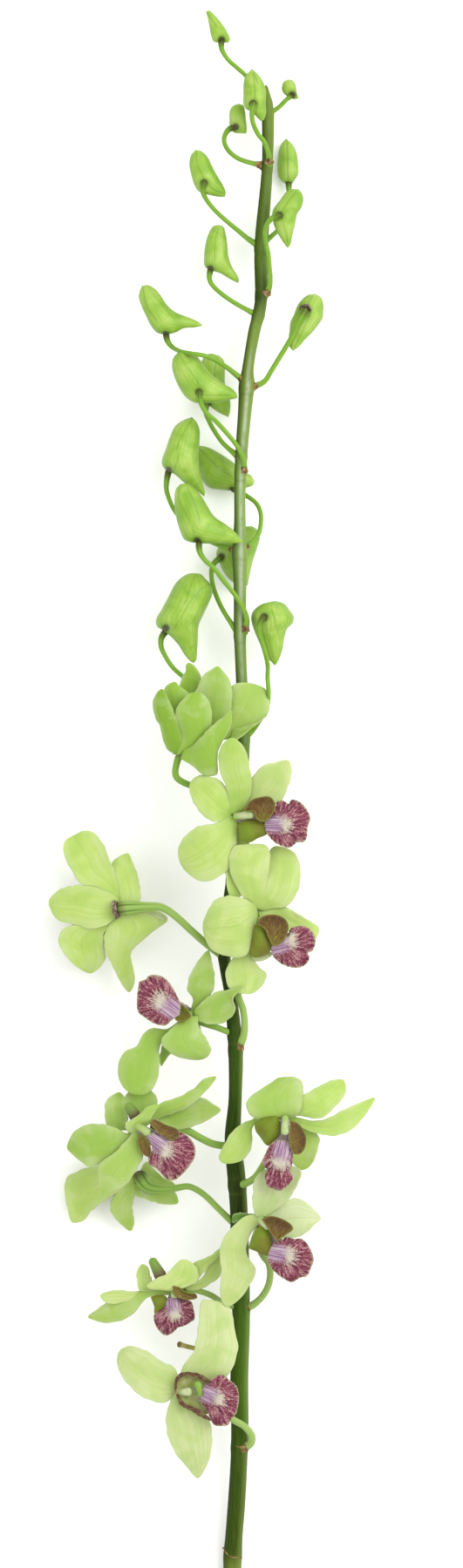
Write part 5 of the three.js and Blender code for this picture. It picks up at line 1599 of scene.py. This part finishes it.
def add_stalk(name, item, node, skins, tone):
    """A stalk, with a dry bract round its foot and a collar round its thick end where it has them."""
    radii = item.get("stalk_radii", BUD_STALK_RADII)
    stem = stalk(item["stalk"], radii, item.get("ovary_share", OVARY_SHARE))
    add_piece(f"{name}_stem", stem, skins["stalk"], [node], tone)
    if name in WITH_BRACT:
        add_piece(f"{name}_bract", bract(item["stalk"], radii[2]), skins["bract"])
    if "collar" in item:
        ring = collar(item["stalk"], item["collar"], radii[0])
        add_piece(f"{name}_collar", ring, skins["collar"])


def add_bud(number, bud, skins):
    """A closed bud with its stalk."""
    name = f"bud_{number:02d}"
    add_piece(f"{name}_body", bud_body(bud), skins["bud"], [name])
    add_stalk(name, bud, name, skins, 0.0)


def add_lip(name, head, skins):
    """The lip: its broad front, the throat behind that, its side lobes, and their rims where it has them."""
    nodes, tone = [f"{name}_lip"], head["tone"]
    front = head["front"]
    waist = front["outline"][0]
    skirt = lobe(front, waist, FRONT_RUFFLE, CALLUS_RISE)
    add_piece(f"{name}_lip_front", skirt, skins["lip"], nodes, tone)
    add_piece(f"{name}_lip_throat", throat(head), skins["throat"], nodes)
    for count, side in enumerate(head["lobes"], 1):
        ear = lobe(side, waist, SIDE_RUFFLE)
        add_piece(f"{name}_lip_side_{count}", ear, skins[side["face"]], nodes, tone)
    for count, strip in enumerate(head.get("rims", []), 1):
        rim = tepal(strip["start"], strip, count)
        add_piece(f"{name}_lip_rim_{count}", rim, skins["rim"], nodes, tone)


def add_head(name, head, skins):
    """An opening bud or an open flower: its tepals, stalk, column, spur and lip."""
    hub, tone = head["hub"], head["tone"]
    nodes = [f"{name}_tepals"]
    for seed, shape in enumerate(head["tepals"]):
        add_piece(f"{name}_{shape['name']}_tepal", tepal(hub, shape, seed + hub[0]), skins["tepal"],
                  nodes, shape.get("tone", tone + TONE_STEP * seed))
    add_stalk(name, head, f"{name}_stalk", skins, tone)
    if "front" in head:
        chin = spur(head["spur"], head.get("olive_spur", SPUR_RADIUS))
        chin_skin = skins["spur" if "olive_spur" in head else "column"]
        add_piece(f"{name}_column", column(head["column"]), skins["column"], nodes, tone)
        add_piece(f"{name}_spur", chin, chin_skin, nodes, tone)
        add_lip(name, head, skins)
    if "tongue" in head:
        tongue = spur(head["tongue"], COLUMN_RADIUS)
        add_piece(f"{name}_tongue", tongue, skins["stalk"], nodes, tone * TONGUE_TONE_SHARE)


def add_camera():
    """Straight above the picture's middle, with the picture's whole frame in view."""
    data = bpy.data.cameras.new("camera")
    data.lens = LENS_SENSOR * EYE_HEIGHT / (PICTURE_SIZE[1] * MM_PER_PIXEL)
    data.sensor_width = LENS_SENSOR
    data.clip_end = VIEW_DEPTH
    camera = bpy.data.objects.new("camera", data)
    camera.location = (*(-BOX_MIDDLE * MM), EYE_HEIGHT * MM)
    bpy.context.scene.collection.objects.link(camera)
    bpy.context.scene.camera = camera


def add_floor():
    """A wide pale table top under the spray."""
    mesh = bpy.data.meshes.new("table_top")
    reach = FLOOR_SIZE / 2
    mesh.from_pydata([(-reach, -reach, 0), (reach, -reach, 0), (reach, reach, 0), (-reach, reach, 0)],
                     [], [(0, 1, 2, 3)])
    mesh.materials.append(table_finish())
    floor = bpy.data.objects.new("table_top", mesh)
    bpy.context.scene.collection.objects.link(floor)


def add_light(name, energy, size, location):
    """A soft square lamp that looks at the spray's middle and doesn't show itself."""
    data = bpy.data.lights.new(name, "AREA")
    data.energy = energy
    data.size = size
    lamp = bpy.data.objects.new(name, data)
    lamp.location = location
    lamp.rotation_euler = Vector(location).to_track_quat("Z", "Y").to_euler()
    lamp.visible_camera = False
    bpy.context.scene.collection.objects.link(lamp)


def light_the_stage():
    """Soft light from two large lamps and a white surround."""
    for name, lamp in LAMPS.items():
        add_light(name, *lamp)
    world = bpy.data.worlds.new("studio")
    world.use_nodes = True
    surround = world.node_tree.nodes["Background"]
    surround.inputs["Color"].default_value = (1, 1, 1, 1)
    surround.inputs["Strength"].default_value = SURROUND_LIGHT
    bpy.context.scene.world = world
    bpy.context.scene.view_settings.view_transform = "Standard"


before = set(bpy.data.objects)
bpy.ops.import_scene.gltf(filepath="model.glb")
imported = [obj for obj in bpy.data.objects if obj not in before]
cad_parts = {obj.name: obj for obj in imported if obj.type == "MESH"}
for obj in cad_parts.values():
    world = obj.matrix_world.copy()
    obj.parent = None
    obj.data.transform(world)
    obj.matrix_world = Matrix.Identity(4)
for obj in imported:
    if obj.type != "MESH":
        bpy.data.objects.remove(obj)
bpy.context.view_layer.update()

add_camera()
add_floor()
light_the_stage()

skins = {
    "tepal": tepal_finish(),
    "bud": bud_finish(),
    "stalk": stalk_finish(),
    "lip": lip_finish(),
    "throat": throat_finish(),
    "inside": side_lobe_finish(True),
    "rim": lip_rim_finish(),
    "outside": side_lobe_finish(False),
    "floor": lip_floor_finish(),
    "spur": spur_finish(),
    "collar": collar_finish(),
    "column": column_finish(),
    "bract": bract_finish(),
}
add_piece("stem", rachis(), rachis_finish(), [f"rachis_{number:02d}" for number in range(1, 5)])
add_piece("broken_stem", broken_stalk(), stub_finish(), ["broken_stalk"])
for number, mark in enumerate(SCARS, 1):
    add_piece(f"sheath_scar_{number}", scar(*mark), skins["bract"])
for number, bud in enumerate(BUDS, 1):
    add_bud(number, bud, skins)
for name, head in HEADS.items():
    add_head(name, head, skins)
